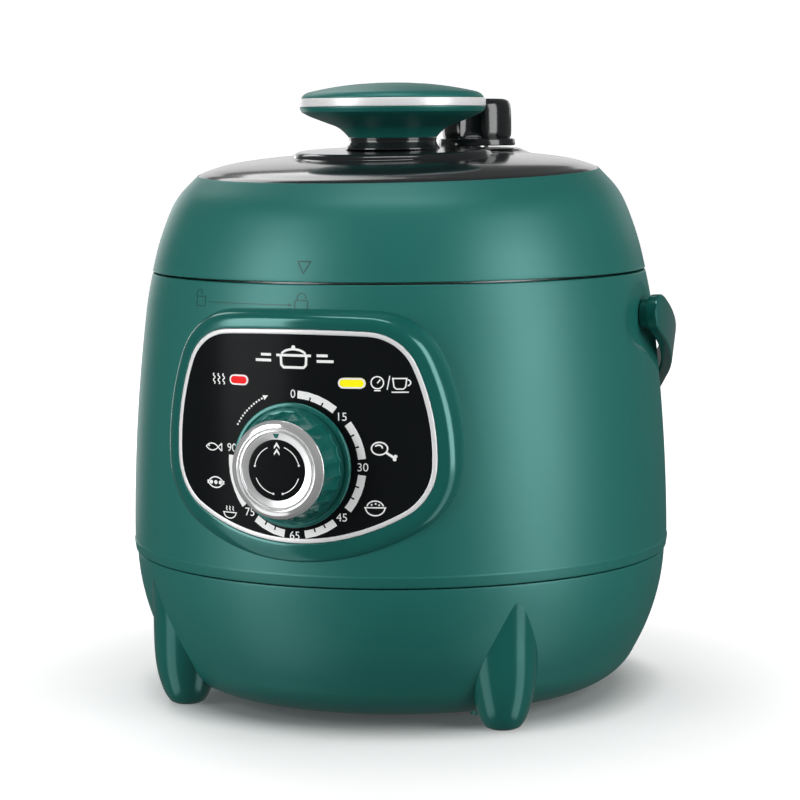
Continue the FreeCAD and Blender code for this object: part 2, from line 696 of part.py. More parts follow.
def locking_collar():
    flange_z = D.ledge_z + D.seat_gap
    inner = D.collar_r - D.well_wall
    body = revolved("Collar", [
        (D.well_r, flange_z), (D.collar_r, flange_z), (D.collar_r, D.collar_top_z),
        (inner, D.collar_top_z), (inner, flange_z + D.well_wall), (D.well_r, flange_z + D.well_wall)])
    ring_sectors(body, D.tooth_z, D.tooth_r, inner + 0.5, D.tooth)
    return body


def outer_pot():
    outer = D.well_r + D.well_wall
    top_z = D.ledge_z + D.seat_gap - D.fit_gap
    floor_z = D.well_floor_z + D.well_wall
    pot = revolved("OuterPotWall", [
        (D.sensor_r + 5, D.well_floor_z), (outer - 8, D.well_floor_z, 8.0), (outer, D.well_floor_z + 8),
        (outer, top_z - D.well_wall), (D.ledge_r - D.seat_gap, top_z - D.well_wall),
        (D.ledge_r - D.seat_gap, top_z), (D.well_r, top_z), (D.well_r, floor_z + 6.5, -6.5),
        (D.well_r - 6.5, floor_z), (D.sensor_r + 5, floor_z)])
    holes = [cylinder("TerminalHole", 4.2, 6, x=side * D.terminal_x, y=-D.terminal_y, z=D.well_floor_z - 2)
             for side in (-1, 1)]
    return cut("OuterPot", pot, *holes)


def inner_pot():
    wall_r = D.pot_r + D.pot_wall
    lip_z = D.ledge_z + D.seat_gap + D.well_wall + D.seat_gap
    inner_floor = D.pot_floor_z + D.pot_floor
    return revolved("InnerPot", [
        (0, D.pot_floor_z), (wall_r - D.pot_corner_r, D.pot_floor_z, D.pot_corner_r),
        (wall_r, D.pot_floor_z + D.pot_corner_r), (wall_r, lip_z), (D.pot_lip_r, lip_z),
        (D.pot_lip_r, lip_z + D.pot_wall), (D.pot_r, lip_z + D.pot_wall),
        (D.pot_r, inner_floor + D.pot_corner_r - 2, -(D.pot_corner_r - 2)),
        (D.pot_r - D.pot_corner_r + 2, inner_floor), (0, inner_floor)])


def heating_plate():
    top_z = D.pot_floor_z - D.seat_gap
    low_z = top_z - D.plate_thick
    hole_r = D.sensor_r + D.sensor_hole_gap
    body = revolved("HeatingPlate", [
        (hole_r, low_z), (D.plate_r - 4, low_z), (D.plate_r, low_z + 4), (D.plate_r, top_z - 1.5),
        (D.plate_r - 1.5, top_z), (hole_r, top_z)])
    floor_z = D.well_floor_z + D.well_wall + D.seat_gap
    sketch = circle(new_sketch(body, "XY_Plane", floor_z), D.plate_r * 0.7, 0, 5.0)
    ring_of(body, padded(body, sketch, low_z - floor_z + 0.5), 3)
    return body


def heater_terminals():
    """Two spade terminals that come down through the outer pot's floor."""
    low = D.well_floor_z - 8
    high = D.pot_floor_z - D.seat_gap - D.plate_thick - D.fit_gap
    spades = [block("Spade", 6.3, 0.8, high - low, x=side * D.terminal_x - 3.15,
                    y=-D.terminal_y - 0.4, z=low) for side in (-1, 1)]
    return grouped("HeaterTerminals", *spades)


def sensor_holder():
    low, wall = D.holder_floor_z, D.sensor_wall / 2
    top = D.well_floor_z + 2.5
    outer = D.sensor_r + 4.8
    return revolved("SensorHolder", [
        (0, low), (outer, low), (outer, D.well_floor_z - wall - D.fit_gap),
        (outer + 6, D.well_floor_z - wall - D.fit_gap), (outer + 6, D.well_floor_z - D.fit_gap),
        (outer, D.well_floor_z - D.fit_gap), (outer, top), (outer - wall * 1.5, top),
        (outer - wall * 1.5, low + wall * 1.5), (0, low + wall * 1.5)])


def sensor_cap():
    top = D.pot_floor_z - D.seat_gap
    return revolved("SensorCap", [
        (D.sensor_r - D.sensor_wall, top - D.sensor_height), (D.sensor_r, top - D.sensor_height),
        (D.sensor_r, top - 1), (D.sensor_r - 1, top), (0, top), (0, top - D.sensor_wall),
        (D.sensor_r - D.sensor_wall, top - D.sensor_wall)])


def sensor_spring():
    low = D.holder_floor_z + D.sensor_wall * 0.75 + D.spring_wire_r + D.seat_gap
    high = D.pot_floor_z - D.seat_gap - D.sensor_wall - D.spring_wire_r - D.seat_gap
    body = new_body("SensorSpring")
    sketch = circle(new_sketch(body, "XZ_Plane"), D.spring_r, low, D.spring_wire_r)
    coil = body.newObject("PartDesign::AdditiveHelix", "Coil")
    coil.Profile = sketch
    coil.ReferenceAxis = (sketch, ["V_Axis"])
    coil.Mode = "height-turns-angle"
    bind(coil, "Height", high - low)
    coil.Turns = 5
    return body


def pressure_switch():
    """A round pressure switch under the outer pot's floor, with two tabs."""
    x, y, low = 46.0, -30.0, D.well_floor_z - 18
    can = cylinder("SwitchCan", 12, 14, x=x, y=y, z=low)
    cap = cylinder("SwitchSeat", 8, 4.2 - D.fit_gap, x=x, y=y, z=low + 13.8)
    tabs = [block("SwitchTab", 1, 5, 7, x=x + side * 5, y=y - 2.5, z=low - 6.5) for side in (-1, 1)]
    return fused("PressureSwitch", can, cap, *tabs)


def thermal_fuse():
    """A fuse link in its sleeve, clipped under the outer pot's floor."""
    z = D.well_floor_z - D.fit_gap - 2.6
    sleeve = cylinder("FuseSleeve", 2.5, 22, x=-46, y=20, z=z, axis=Y_AXIS, angle=90)
    clip = block("FuseClip", 6, 7, 2.6, x=-38, y=16.5, z=z)
    return fused("ThermalFuse", sleeve, clip)


node("locking_collar", locking_collar())
node("outer_pot", outer_pot())
node("inner_pot", inner_pot())
node("heating_plate", heating_plate())
node("heater_terminals", heater_terminals())
node("sensor_holder", sensor_holder())
node("sensor_cap", sensor_cap())
node("sensor_spring", sensor_spring())
node("pressure_switch", pressure_switch())
node("thermal_fuse", thermal_fuse())


# ---------------------------------------------------------------- lid
def lid_loft(name, inward, rise):
    """The lid's outer surface, or one parallel to it: circles that lean more and more forwards."""
    body = new_body(name)
    stations = [
        (D.mouth_z + D.seam, D.lid_foot_r, 0.0), (D.lid_low_z, D.lid_low_r, 0.16),
        (D.lid_mid_z, D.lid_mid_r, 0.41), (D.lid_high_z, D.lid_high_r, 0.7),
        (D.crown_z - D.fit_gap, D.crown_r, 1.0)]
    last = len(stations) - 1
    sketches = []
    for i, (z, radius, share) in enumerate(stations):
        z = z - rise if i == 0 else z + rise if i == last else z
        tilt = D.crown_tilt * share if share else None
        sketches.append(circle(new_sketch(body, "XY_Plane", z, tilt), 0, 0, radius - inward))
    loft = body.newObject("PartDesign::AdditiveLoft", "Skin")
    loft.Profile = sketches[0]
    loft.Sections = sketches[1:]
    return body


def crown_solid(name, points):
    """A solid of revolution in the leaning frame of the crown; its heights start at the edge."""
    return place(turn(revolved(name, points), X_AXIS, D.crown_tilt), z=D.crown_z)


def lid_cover():
    """The black cover: a domed plate with a stand for the knob and one for the valve."""
    edge = D.crown_r - 0.2
    plug = D.crown_r - D.lid_wall - 0.4
    dome = crown_solid("CoverDome", [
        (0, 4.9), (40, 3.6), (plug - 9, 0.4), (plug - 2.4, -3.6), (plug, -3.6), (plug, 0), (edge, 0),
        (edge, 0.5), (edge - 1.4, 1.5, 9.0), (edge - 7.5, 3.1, 150.0), (edge - 24, 5.0, 260.0), (0, 7.4)])
    stand = place(turn(revolved("KnobStand", [
        (0, 2.0), (41.0, 2.0), (41.0, 6.2), (39.8, 7.0), (36.4, 8.3), (24.0, 9.3), (0, 9.6)]),
        X_AXIS, D.crown_tilt), y=D.knob_y, z=D.crown_z)
    rise = D.valve_y * sine(D.crown_tilt)
    post = place(turn(revolved("ValveStand", [
        (0, 1.0), (24.5, 1.0), (24.5, 4.4), (21.0, 5.3), (18.4, 6.6), (0, 6.6)]), X_AXIS, D.crown_tilt),
        x=D.valve_x, y=D.valve_y, z=D.crown_z + rise)
    under = cylinder("StandHollow", 30, 12, y=D.knob_y, z=D.crown_z - 8)
    holes = [
        cylinder("NeckHole", D.neck_r - 5.8, 30, y=D.knob_y, z=D.crown_z - 6),
        cylinder("StemHole", D.stem_r + D.seat_gap, 30, x=D.valve_x, y=D.valve_y, z=D.crown_z - 6),
        cylinder("FloatHole", D.float_r + 0.5, 30, x=D.float_x, y=D.float_y, z=D.crown_z - 6)]
    return cut("LidCover", fused("CoverSolid", dome, stand, post), under, *holes)


def lid_shell():
    return cut("LidShell", lid_loft("LidSkin", 0, 0), lid_loft("LidHollow", D.lid_wall, 0.6))


def plate_height(at, below=0):
    """Height of the lid plate's top at a radius."""
    return dome_height(D.lid_plate_top_z, D.lid_plate_edge_z, D.lid_plate_r, sized(at)) - below


def lid_plate():
    """The pressed aluminium lid: a dome, a skirt and six lugs."""
    rise = D.lid_plate_top_z - D.lid_plate_edge_z
    curve = (D.lid_plate_r * D.lid_plate_r + rise * rise) / (2 * rise)
    lug_top = D.tooth_z - D.seat_gap
    skirt_z = lug_top - D.lug - 0.5
    inner = D.lid_plate_r - D.lid_plate_wall
    body = revolved("LidPlate", [
        (inner, skirt_z), (D.lid_plate_r, skirt_z), (D.lid_plate_r, D.lid_plate_edge_z, curve),
        (0, D.lid_plate_top_z), (0, D.lid_plate_top_z - D.lid_plate_wall, -(curve - D.lid_plate_wall)),
        (inner, plate_height(inner, D.lid_plate_wall))])
    ring_sectors(body, lug_top - D.lug, inner + 1, D.lug_r, D.lug)
    holes = [
        cylinder("KnobScrewHole", 2.7, 30, y=D.knob_y, z=D.lid_plate_edge_z),
        cylinder("StemPlateHole", D.stem_r + D.shaft_gap, 30, x=D.valve_x, y=D.valve_y,
                 z=D.lid_plate_edge_z),
        cylinder("FloatPlateHole", D.float_r + D.seat_gap, 30, x=D.float_x, y=D.float_y,
                 z=D.lid_plate_edge_z)]
    return cut("LidPlateDrilled", body, *holes)


def slider_prism(name, start, end, wide, low, high, fork=None):
    """A bar along the radius through the float pin, with an optional notch at its inner end."""
    body = new_body(name)
    sketch = new_sketch(body, "XY_Plane", low)
    half = wide / 2
    if fork is None:
        rectangle(sketch, start, -half, end, half)
    else:
        deep = start + fork * 1.6
        outline(sketch, [(start, -half), (end, -half), (end, half), (start, half), (start, fork),
                         (deep, fork), (deep, -fork), (start, -fork)])
    padded(body, sketch, high)
    return turn(body, Z_AXIS, FLOAT_ANGLE)


def lid_frame():
    """The plastic frame between the plate and the cover: a tube and a flange out to the shell."""
    wall = 2.0
    low = plate_height(D.frame_r) + D.seat_gap
    high = D.crown_z - D.frame_r * sine(D.crown_tilt) + 1.0
    flange_z = D.slider_z + D.slider + D.seat_gap
    rim_r = D.lid_mid_r - D.lid_wall - 1.2
    body = revolved("FrameTube", [
        (D.frame_r - wall, low + 0.5), (D.frame_r, low), (D.frame_r, flange_z),
        (rim_r, flange_z), (rim_r, flange_z + wall), (D.frame_r, flange_z + wall),
        (D.frame_r, high - 2.4), (D.frame_r - wall, high - 2.4)])
    slot = slider_prism("SliderSlot", D.frame_r - 8, D.frame_r + 6, D.slider_wide + 0.8,
                        D.slider_z - 0.3, D.slider + 0.6)
    return cut("LidFrame", body, slot)


def sealing_ring():
    """The silicone ring between the pot's lip and the lid, with a groove for its retainer."""
    low = D.ledge_z + 2 * D.seat_gap + D.well_wall + D.pot_wall + D.seat_gap
    return revolved("SealingRing", [
        (D.pot_r + 0.5, low), (D.seal_r, low), (D.seal_r, low + 9.6), (D.pot_r, low + 9.6),
        (D.pot_r, low + 6.6), (D.pot_r + 3, low + 6.6), (D.pot_r + 3, low + 2.6), (D.pot_r, low + 2.6),
        (D.pot_r, low + 0.5)])


def seal_retainer():
    """The steel ring that holds the sealing ring to the lid plate."""
    low = D.ledge_z + 2 * D.seat_gap + D.well_wall + D.pot_wall + D.seat_gap + 3.9
    inner = D.pot_r - 1.7
    high = plate_height(inner + 1, D.lid_plate_wall) - D.seat_gap
    return revolved("SealRetainer", [
        (inner, low), (D.pot_r + 2.5, low), (D.pot_r + 2.5, low + 1.2), (inner + 1, low + 1.2),
        (inner + 1, high), (inner, high)])


def knob_parts():
    z, top = D.knob_band_z, D.knob_band_z + D.knob_band
    neck = revolved("KnobNeck", [
        (3.0, D.neck_foot_z), (D.neck_r - 6, D.neck_foot_z), (D.neck_r - 6, D.neck_foot_z + 3),
        (D.neck_r + 0.6, D.neck_foot_z + 3), (D.neck_r, D.neck_foot_z + 4.4), (D.neck_r, D.neck_top_z),
        (3.0, D.neck_top_z)], y=D.knob_y)
    base = revolved("KnobBase", [
        (2.5, D.neck_top_z + D.fit_gap), (D.neck_r, D.neck_top_z + D.fit_gap),
        (D.neck_r + 0.4, D.neck_top_z + 1.4, -9.0), (D.neck_r + 8.0, D.neck_top_z + 5.6, -60.0),
        (D.knob_r - 4.3, z - 3.4, 8.0), (D.knob_r - 0.2, z - 0.4), (D.knob_r - 0.2, z),
        (D.knob_r - 6, z), (D.knob_r - 6, z - 1.4), (7.5, D.neck_top_z + 4.4), (7.5, z), (2.5, z)],
        y=D.knob_y)
    band = revolved("KnobBand", [
        (D.knob_r - 5, z + D.fit_gap), (D.knob_r - 0.3, z + D.fit_gap), (D.knob_r, z + 0.5),
        (D.knob_r, top - 0.5), (D.knob_r - 0.3, top), (D.knob_r - 5, top)], y=D.knob_y)
    cap_z, stub_r = top + D.fit_gap, D.knob_r - 6.4
    knob_cap = revolved("KnobCap", [
        (8.0, cap_z - 0.4), (8.0, z - 1.2), (stub_r, z - 1.2), (stub_r, cap_z), (D.knob_r - 0.8, cap_z),
        (D.knob_r - 0.8, cap_z + 0.3, 4.5), (D.knob_r - 4.4, D.knob_top_z - 3.3, 171.0),
        (13.6, D.knob_top_z - 0.5), (13.3, D.knob_top_z - 0.9), (12.9, D.knob_top_z - 0.9),
        (12.6, D.knob_top_z - 0.45), (4.0, D.knob_top_z), (0, D.knob_top_z), (0, cap_z - 0.4)],
        y=D.knob_y)
    under = D.lid_plate_top_z - D.lid_plate_wall - D.seat_gap
    screw = fused("KnobScrew", cylinder("KnobScrewHead", 4.6, 3, y=D.knob_y, z=under - 3),
                  cylinder("KnobScrewShank", 2.45, z - 4 - under, y=D.knob_y, z=under - 0.5))
    return neck, base, band, knob_cap, screw


def valve_parts():
    x, y = D.valve_x, D.valve_y
    away = root(x * x + y * y)
    nut_z = plate_height(away - 7) + D.fit_gap
    stem = cut("ValveStem", cylinder("StemRod", D.stem_r, D.valve_top_z - 8 - 183, x, y, 183.0),
               cylinder("StemBore", 1.5, 80, x, y, 180.0))
    nut = new_body("NutHex")
    turns = [math.radians(60 * i) for i in range(6)]
    hexagon = [(8.0 * math.cos(turn) + 0.001, 8.0 * math.sin(turn) + 0.001) for turn in turns]
    padded(nut, outline(new_sketch(nut, "XY_Plane"), hexagon), 4.5)
    place(nut, x, y, nut_z)
    nut = cut("ValveNut", nut, cylinder("NutBore", D.stem_r + D.shaft_gap, 10, x, y, nut_z - 2))
    low, high = D.valve_cap_z, D.valve_top_z
    bore = D.stem_r + D.seat_gap
    cap = new_body("ValveCap")
    revolve_into(cap, outline(new_sketch(cap, "XZ_Plane"), [
        (bore, low), (D.valve_collar_r, low), (D.valve_collar_r, low + 2.6),
        (D.valve_collar_r - 0.8, low + 3.4),
        (D.valve_cap_r - 1.2, low + 3.4), (D.valve_cap_r, low + 5.0), (D.valve_cap_r - 0.4, high - 2.4),
        (D.valve_cap_r - 2.6, high), (0, high), (0, high - 8 + D.seat_gap), (bore, high - 8 + D.seat_gap)]))
    groove = circle(new_sketch(cap, "XY_Plane", low + 4.2), D.valve_cap_r + D.valve_groove_out, 0,
                    D.valve_groove_r)
    ring_of(cap, padded(cap, groove, high - low - 6.6, kind="Pocket", backwards=True), D.valve_groove_count)
    place(turn(cap, Z_AXIS, D.valve_groove_turn), x, y)
    shield_top = plate_height(away + 9, D.lid_plate_wall) - D.seat_gap
    shield = revolved("BlockShield", [
        (D.stem_r + D.seat_gap, shield_top - 1.2), (9.0, shield_top - 1.2), (9.0, shield_top - 9),
        (0, shield_top - 9), (0, shield_top - 7.8), (7.8, shield_top - 7.8), (7.8, shield_top - 2.4),
        (D.stem_r + D.seat_gap, shield_top - 2.4)][::-1])
    slots = [block(f"ShieldSlot{i}", long, wide, 3.6, x=x - long / 2, y=y - wide / 2, z=shield_top - 6.6)
             for i, (long, wide) in enumerate(((22.0, 1.6), (1.6, 22.0)))]
    shield = cut("BlockShieldSlotted", place(shield, x, y), *slots)
    return stem, nut, cap, shield


def float_pin():
    x, y = D.float_x, D.float_y
    away = root(x * x + y * y)
    stop_z = plate_height(away - D.float_r - 1.8) + D.seat_gap
    disc_z = plate_height(away + 6, D.lid_plate_wall) - 8.0
    pin = revolved("FloatPin", [
        (0, disc_z - 3), (D.float_r, disc_z - 3), (D.float_r, disc_z), (D.float_r + 2.6, disc_z),
        (D.float_r + 2.6, disc_z + 2), (D.float_r, disc_z + 2), (D.float_r, stop_z),
        (D.float_r + 1.8, stop_z), (D.float_r + 1.8, stop_z + 3.2), (D.float_r, stop_z + 3.2),
        (D.float_r, D.crown_z + 6.0), (D.float_r - 0.8, D.crown_z + 6.8), (0, D.crown_z + 6.8)])
    gasket = revolved("FloatGasket", [
        (D.float_r + 0.1, disc_z + 2.1), (D.float_r + 2.2, disc_z + 2.1), (D.float_r + 2.2, disc_z + 3.3),
        (D.float_r + 0.1, disc_z + 3.3)])
    return place(pin, x, y), place(gasket, x, y)


def interlock_slider():
    away = root(D.float_x * D.float_x + D.float_y * D.float_y)
    return slider_prism("InterlockSlider", away + D.float_r + 2.4, D.lid_mid_r - 6, D.slider_wide,
                        D.slider_z, D.slider, fork=D.float_r + 0.4)


node("lid_shell", lid_shell())
node("lid_cover", lid_cover())
node("lid_plate", lid_plate())
node("lid_frame", lid_frame())
node("sealing_ring", sealing_ring())
node("seal_retainer", seal_retainer())
for name, thing in zip(("knob_neck", "knob_base", "knob_band", "knob_cap", "knob_screw"), knob_parts()):
    node(name, thing)
for name, thing in zip(("valve_stem", "valve_nut", "valve_cap", "anti_block_cap"), valve_parts()):
    node(name, thing)
for name, thing in zip(("float_pin", "float_gasket"), float_pin()):
    node(name, thing)
node("interlock_slider", interlock_slider())


# ---------------------------------------------------------------- control panel and timer
def panel_bezel():
    """The raised green frame: a low foot on the shell, a higher front, and the carrier behind."""
    steps = ((D.bezel_foot, 1.0), (D.bezel_foot - 1.8, 2.6), (D.bezel_land + 0.8, 5.5))
    layers = []
    for i, (margin, lift) in enumerate(steps):
        layer = shared(f"BezelStep{i}", panel_prism(f"BezelOutline{i}", margin),
                       barrel(f"BezelLift{i}", lift))
        layers.append(shared(f"BezelStepFace{i}", layer, panel_cylinder(f"BezelFace{i}", 0.3)))
    front = shared("BezelFront", panel_prism("BezelLandOutline", D.bezel_land),
                   panel_cylinder("BezelLandFace"))
    ring = cut("BezelRing", fused("BezelSteps", *layers, front), barrel("BezelSeat", D.fit_gap))
    plug = shared("BezelPlug", panel_prism("PlugOutline", D.bezel_land - 1.0 - D.fit_gap * 2),
                  panel_cylinder("PlugFace"))
    inside = panel_cylinder("CarrierBack", D.panel_thick + D.carrier_thick)
    pocket = cut("PanelPocket", panel_prism("PocketOutline", D.fit_gap),
                 panel_cylinder("PocketFloor", D.panel_thick + D.fit_gap))
    shaft = forwards("CarrierShaftHole", 6.3, 40, 0, 125.0, D.dial_z)
    windows = [lamp_prism(f"CarrierWindow{i}", x, wide, 0.3, 20.0) for i, (x, wide) in enumerate(LAMPS)]
    return cut("PanelBezel", fused("BezelSolid", ring, plug), inside, pocket, shaft, *windows)


def lamp_prism(name, x, wide, grow, deep, back=98.0):
    """A lamp's window: a slot with round ends, run along y."""
    body = new_body(name)
    sketch = new_sketch(body, "XZ_Plane", back)
    half, reach = D.lamp_high / 2 + grow, wide / 2 - D.lamp_high / 2
    outline(sketch, [(x - reach, D.lamp_z - half), (x + reach, D.lamp_z - half, half * 1.0001),
                     (x + reach, D.lamp_z + half), (x - reach, D.lamp_z + half, half * 1.0001)])
    padded(body, sketch, deep)
    return body


def panel_layer(name, outer, inner, face, depth):
    """A sheet or a frame cut to the panel's outline, between two upright cylinders."""
    prism = panel_prism(name + "Outline", outer, hole=inner)
    front = shared(name + "Front", prism, panel_cylinder(name + "Face", face))
    return cut(name + "Sheet", front, panel_cylinder(name + "Back", face + depth))


def panel_parts():
    rim = panel_layer("PanelRim", 0.0, -D.panel_rim, 0.0, D.panel_thick)
    sheet_solid = panel_layer("PanelSheet", -D.panel_rim - D.fit_gap, None, 0.1, D.panel_thick - 0.1)
    windows = [lamp_prism(f"PanelWindow{i}", x, wide, D.fit_gap, 20.0) for i, (x, wide) in enumerate(LAMPS)]
    shaft = forwards("PanelShaftHole", 5.0, 40, 0, 125.0, D.dial_z)
    overlay = cut("PanelOverlay", sheet_solid, shaft, *windows)
    lenses = []
    for i, (x, wide) in enumerate(LAMPS):
        slug = lamp_prism(f"LensSlug{i}", x, wide, 0.0, 20.0)
        face = shared(f"LensFront{i}", slug, panel_cylinder(f"LensFace{i}", -0.2))
        lenses.append(cut(f"Lens{i}", face, panel_cylinder(f"LensBack{i}", D.panel_thick + D.carrier_thick)))
    return rim, overlay, lenses[0], lenses[1]


def timer_parts():
    front = D.panel_front + 0.6
    tip = front + D.dial_flange + D.dial_grip
    profile = [
        (D.timer_shaft_r, front), (D.dial_flange_r - 0.8, front), (D.dial_flange_r, front + 0.8),
        (D.dial_flange_r, front + D.dial_flange - 0.8), (D.dial_flange_r - 0.8, front + D.dial_flange),
        (D.dial_root_r + 0.3, front + D.dial_flange), (D.dial_root_r, front + D.dial_flange + 0.4),
        (D.dial_tip_r, tip), (D.timer_shaft_r, tip)]
    knob = new_body("TimerKnob")
    sketch = outline(new_sketch(knob, "XZ_Plane"), profile)
    revolve_into(knob, sketch)
    turn(knob, X_AXIS, 90)
    place(knob, z=D.dial_z)
    ring_back = tip + D.fit_gap
    ring = revolved("TimerRing", [
        (D.dial_disc_r + 0.2, ring_back), (D.dial_ring_r, ring_back), (D.dial_ring_r, ring_back + 0.7),
        (D.dial_ring_r - 3.3, ring_back + D.dial_ring), (D.dial_ring_r - 3.8, ring_back + D.dial_ring - 0.5),
        (D.dial_disc_r + 3.2, ring_back + D.dial_ring - 0.5), (D.dial_disc_r + 2.6, ring_back + D.dial_ring),
        (D.dial_disc_r + 0.2, ring_back + D.dial_ring - 0.4)])
    disc = revolved("TimerDisc", [
        (0, ring_back), (D.dial_disc_r, ring_back), (D.dial_disc_r, ring_back + D.dial_ring - 0.9),
        (0, ring_back + D.dial_ring - 0.9)])
    for solid in (ring, disc):
        turn(solid, X_AXIS, 90)
        place(solid, z=D.dial_z)
    shaft = forwards("TimerShaft", D.timer_shaft_r - D.shaft_gap, tip - 1 - 94, 0, tip - 1, D.dial_z)
    return knob, ring, disc, shaft


def timer_case():
    """The timer's closed clockwork: its case, its bush and its tabs."""
    front = D.timer_front
    half = D.timer_wide / 2
    case = block("TimerBlock", D.timer_wide, D.timer_deep, D.timer_wide,
                 x=-half, y=-front, z=D.dial_z - half)
    bush = forwards("TimerBush", 5.5, 3, 0, front + 2.5, D.dial_z)
    bore = forwards("TimerBore", D.timer_shaft_r, 16.5, 0, front + 3, D.dial_z)
    tabs = [block("TimerTab", 5, 0.8, 9, x=side * 12 - 2.5, y=-front + D.timer_deep - 6,
                  z=D.dial_z - half - 8) for side in (-1, 0, 1)]
    return cut("TimerCase", fused("TimerSolid", case, bush, *tabs), bore)


def lamp_board():
    front = D.timer_front - 2.2
    return block("LampBoard", 66, 1.6, 10, x=-33, y=-front, z=D.lamp_z - 5)


def lamp_bulbs():
    """One bulb behind each lamp, on the board."""
    front = D.timer_front - 0.3
    return grouped("LampBulbs", *[forwards("Bulb", 1.9, 1.8, x, front, D.lamp_z) for x, wide in LAMPS])


node("panel_bezel", panel_bezel())
for name, thing in zip(("panel_rim", "panel_overlay", "heating_lamp", "keep_warm_lamp"), panel_parts()):
    node(name, thing)
for name, thing in zip(("timer_knob", "timer_knob_ring", "timer_knob_disc", "timer_shaft"), timer_parts()):
    node(name, thing)
node("timer_case", timer_case())
node("lamp_board", lamp_board())
node("lamp_bulbs", lamp_bulbs())


# ---------------------------------------------------------------- carry handle
def carry_handle():
    """A flat hoop with round ends and a boss inside each arm, hanging back and down."""
    outer, inner = D.handle_curve_r + D.handle_thick / 2, D.handle_curve_r - D.handle_thick / 2
    low = D.handle_half
    front = low + D.handle_centre
    out_x, in_x = root(outer * outer - front * front), root(inner * inner - front * front)
    lean = (D.handle_arm - D.handle_centre) / D.handle_curve_r
    side = root(1 - lean * lean)
    back = (D.handle_reach - D.handle_curve_r - D.handle_centre * lean) / (1 - lean)
    straight = (back - D.handle_centre) * side
    grip_r = D.handle_curve_r - (back - D.handle_centre) * lean

    def joint(radius, run):
        return radius * side - run * lean, D.handle_centre + radius * lean + run * side

    (out_a, out_b), (in_a, in_b) = joint(outer, 0), joint(inner, 0)
    (out_c, out_d), (in_c, in_d) = joint(outer, straight), joint(inner, straight)
    out_grip, in_grip = grip_r + D.handle_thick / 2, grip_r - D.handle_thick / 2
    hoop = new_body("HandleHoop")
    outline(new_sketch(hoop, "XY_Plane", -D.handle_half), [
        (in_x, -low), (out_x, -low, outer), (out_a, out_b), (out_c, out_d, out_grip),
        (-out_c, out_d), (-out_a, out_b, outer), (-out_x, -low), (-in_x, -low, -inner),
        (-in_a, in_b), (-in_c, in_d, -in_grip), (in_c, in_d), (in_a, in_b, -inner)])
    padded(hoop, hoop.Group[0], D.handle_half * 2)
    ends = new_body("HandleEnds")
    sketch = new_sketch(ends, "YZ_Plane", -(D.waist_r + 10))
    half = D.handle_half
    outline(sketch, [(0, -half), (D.handle_curve_r * 2, -half), (D.handle_curve_r * 2, half),
                     (0, half, half * 1.0001)])
    padded(ends, sketch, D.waist_r * 2 + 20)
    band = shared("HandleBand", hoop, ends)
    face_x = D.recess_x + D.seat_gap
    boss = cylinder("HandleBoss", D.handle_boss_r, in_x + 3.6 - face_x, x=face_x, axis=Y_AXIS, angle=90)
    bore = cylinder("HandleBore", D.pin_r + D.shaft_gap, 6.4, x=face_x - 1, axis=Y_AXIS, angle=90)
    handle = cut("HandleDrilled", fused("HandleSolid", band, boss, mirrored("BossTwo", boss)),
                 bore, mirrored("BoreTwo", bore))
    return place(turn(handle, X_AXIS, -D.handle_rest), y=D.pivot_y, z=D.pivot_z)


def handle_pins():
    pin = cylinder("PivotPin", D.pin_r, 8.2, x=D.collar_r + 0.3, y=D.pivot_y, z=D.pivot_z,
                   axis=Y_AXIS, angle=90)
    return grouped("HandlePins", pin, mirrored("PivotPinTwo", pin))


node("carry_handle", carry_handle())
node("handle_pivot_pins", handle_pins())


# ---------------------------------------------------------------- power inlet
def inlet_housing():
    wide, high = D.inlet_open_x + 2 * D.inlet_wall, D.inlet_open_z + 2 * D.inlet_wall
    seat = D.inlet_seat_y + D.fit_gap
    flange = block("InletFlange", D.inlet_flange_x, 2.4, D.inlet_flange_z,
                   x=-D.inlet_flange_x / 2, y=seat, z=D.inlet_z - D.inlet_flange_z / 2)
    tube = block("InletTube", wide, D.inlet_deep, high, x=-wide / 2, y=seat - D.inlet_deep + 0.5,
                 z=D.inlet_z - high / 2)
    socket = block("InletSocket", D.inlet_open_x, D.inlet_deep, D.inlet_open_z,
                   x=-D.inlet_open_x / 2, y=seat - D.inlet_deep + 3.5, z=D.inlet_z - D.inlet_open_z / 2)
    return cut("InletHousing", fused("InletSolid", flange, tube), socket,
               *[blade(f"BladeSlot{i}", x, z, D.fit_gap / 2) for i, (x, z) in enumerate(BLADES)])


def blade(name, x, z, grow=0.0):
    back = D.inlet_seat_y - D.inlet_deep - 1.5
    return block(name, 2.0 + 2 * sized(grow), 16.0, 4.0 + 2 * sized(grow), x=x - 1.0 - sized(grow), y=back,
                 z=D.inlet_z + z - 2.0 - sized(grow))


node("inlet_housing", inlet_housing())
node("inlet_pins", grouped("InletPins", *[blade(f"Blade{i}", x, z) for i, (x, z) in enumerate(BLADES)]))


# ---------------------------------------------------------------- check and write
doc.recompute()
faults = [f"{thing.Label}: {state}" for thing in doc.Objects for state in thing.State
          if state in ("Invalid", "Error")]
for name, thing in NODES.items():
    shape = thing.Shape
    if shape.isNull() or not shape.isValid() or not shape.Solids:
        faults.append(f"{name}: its shape is empty or not valid")
if faults:
    raise RuntimeError("; ".join(faults))
os.makedirs("parts", exist_ok=True)
for name, thing in NODES.items():
    thing.Shape.exportStep(f"parts/{name}.step")
print(len(NODES), "sub-parts")
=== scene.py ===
import sys
import json
import math

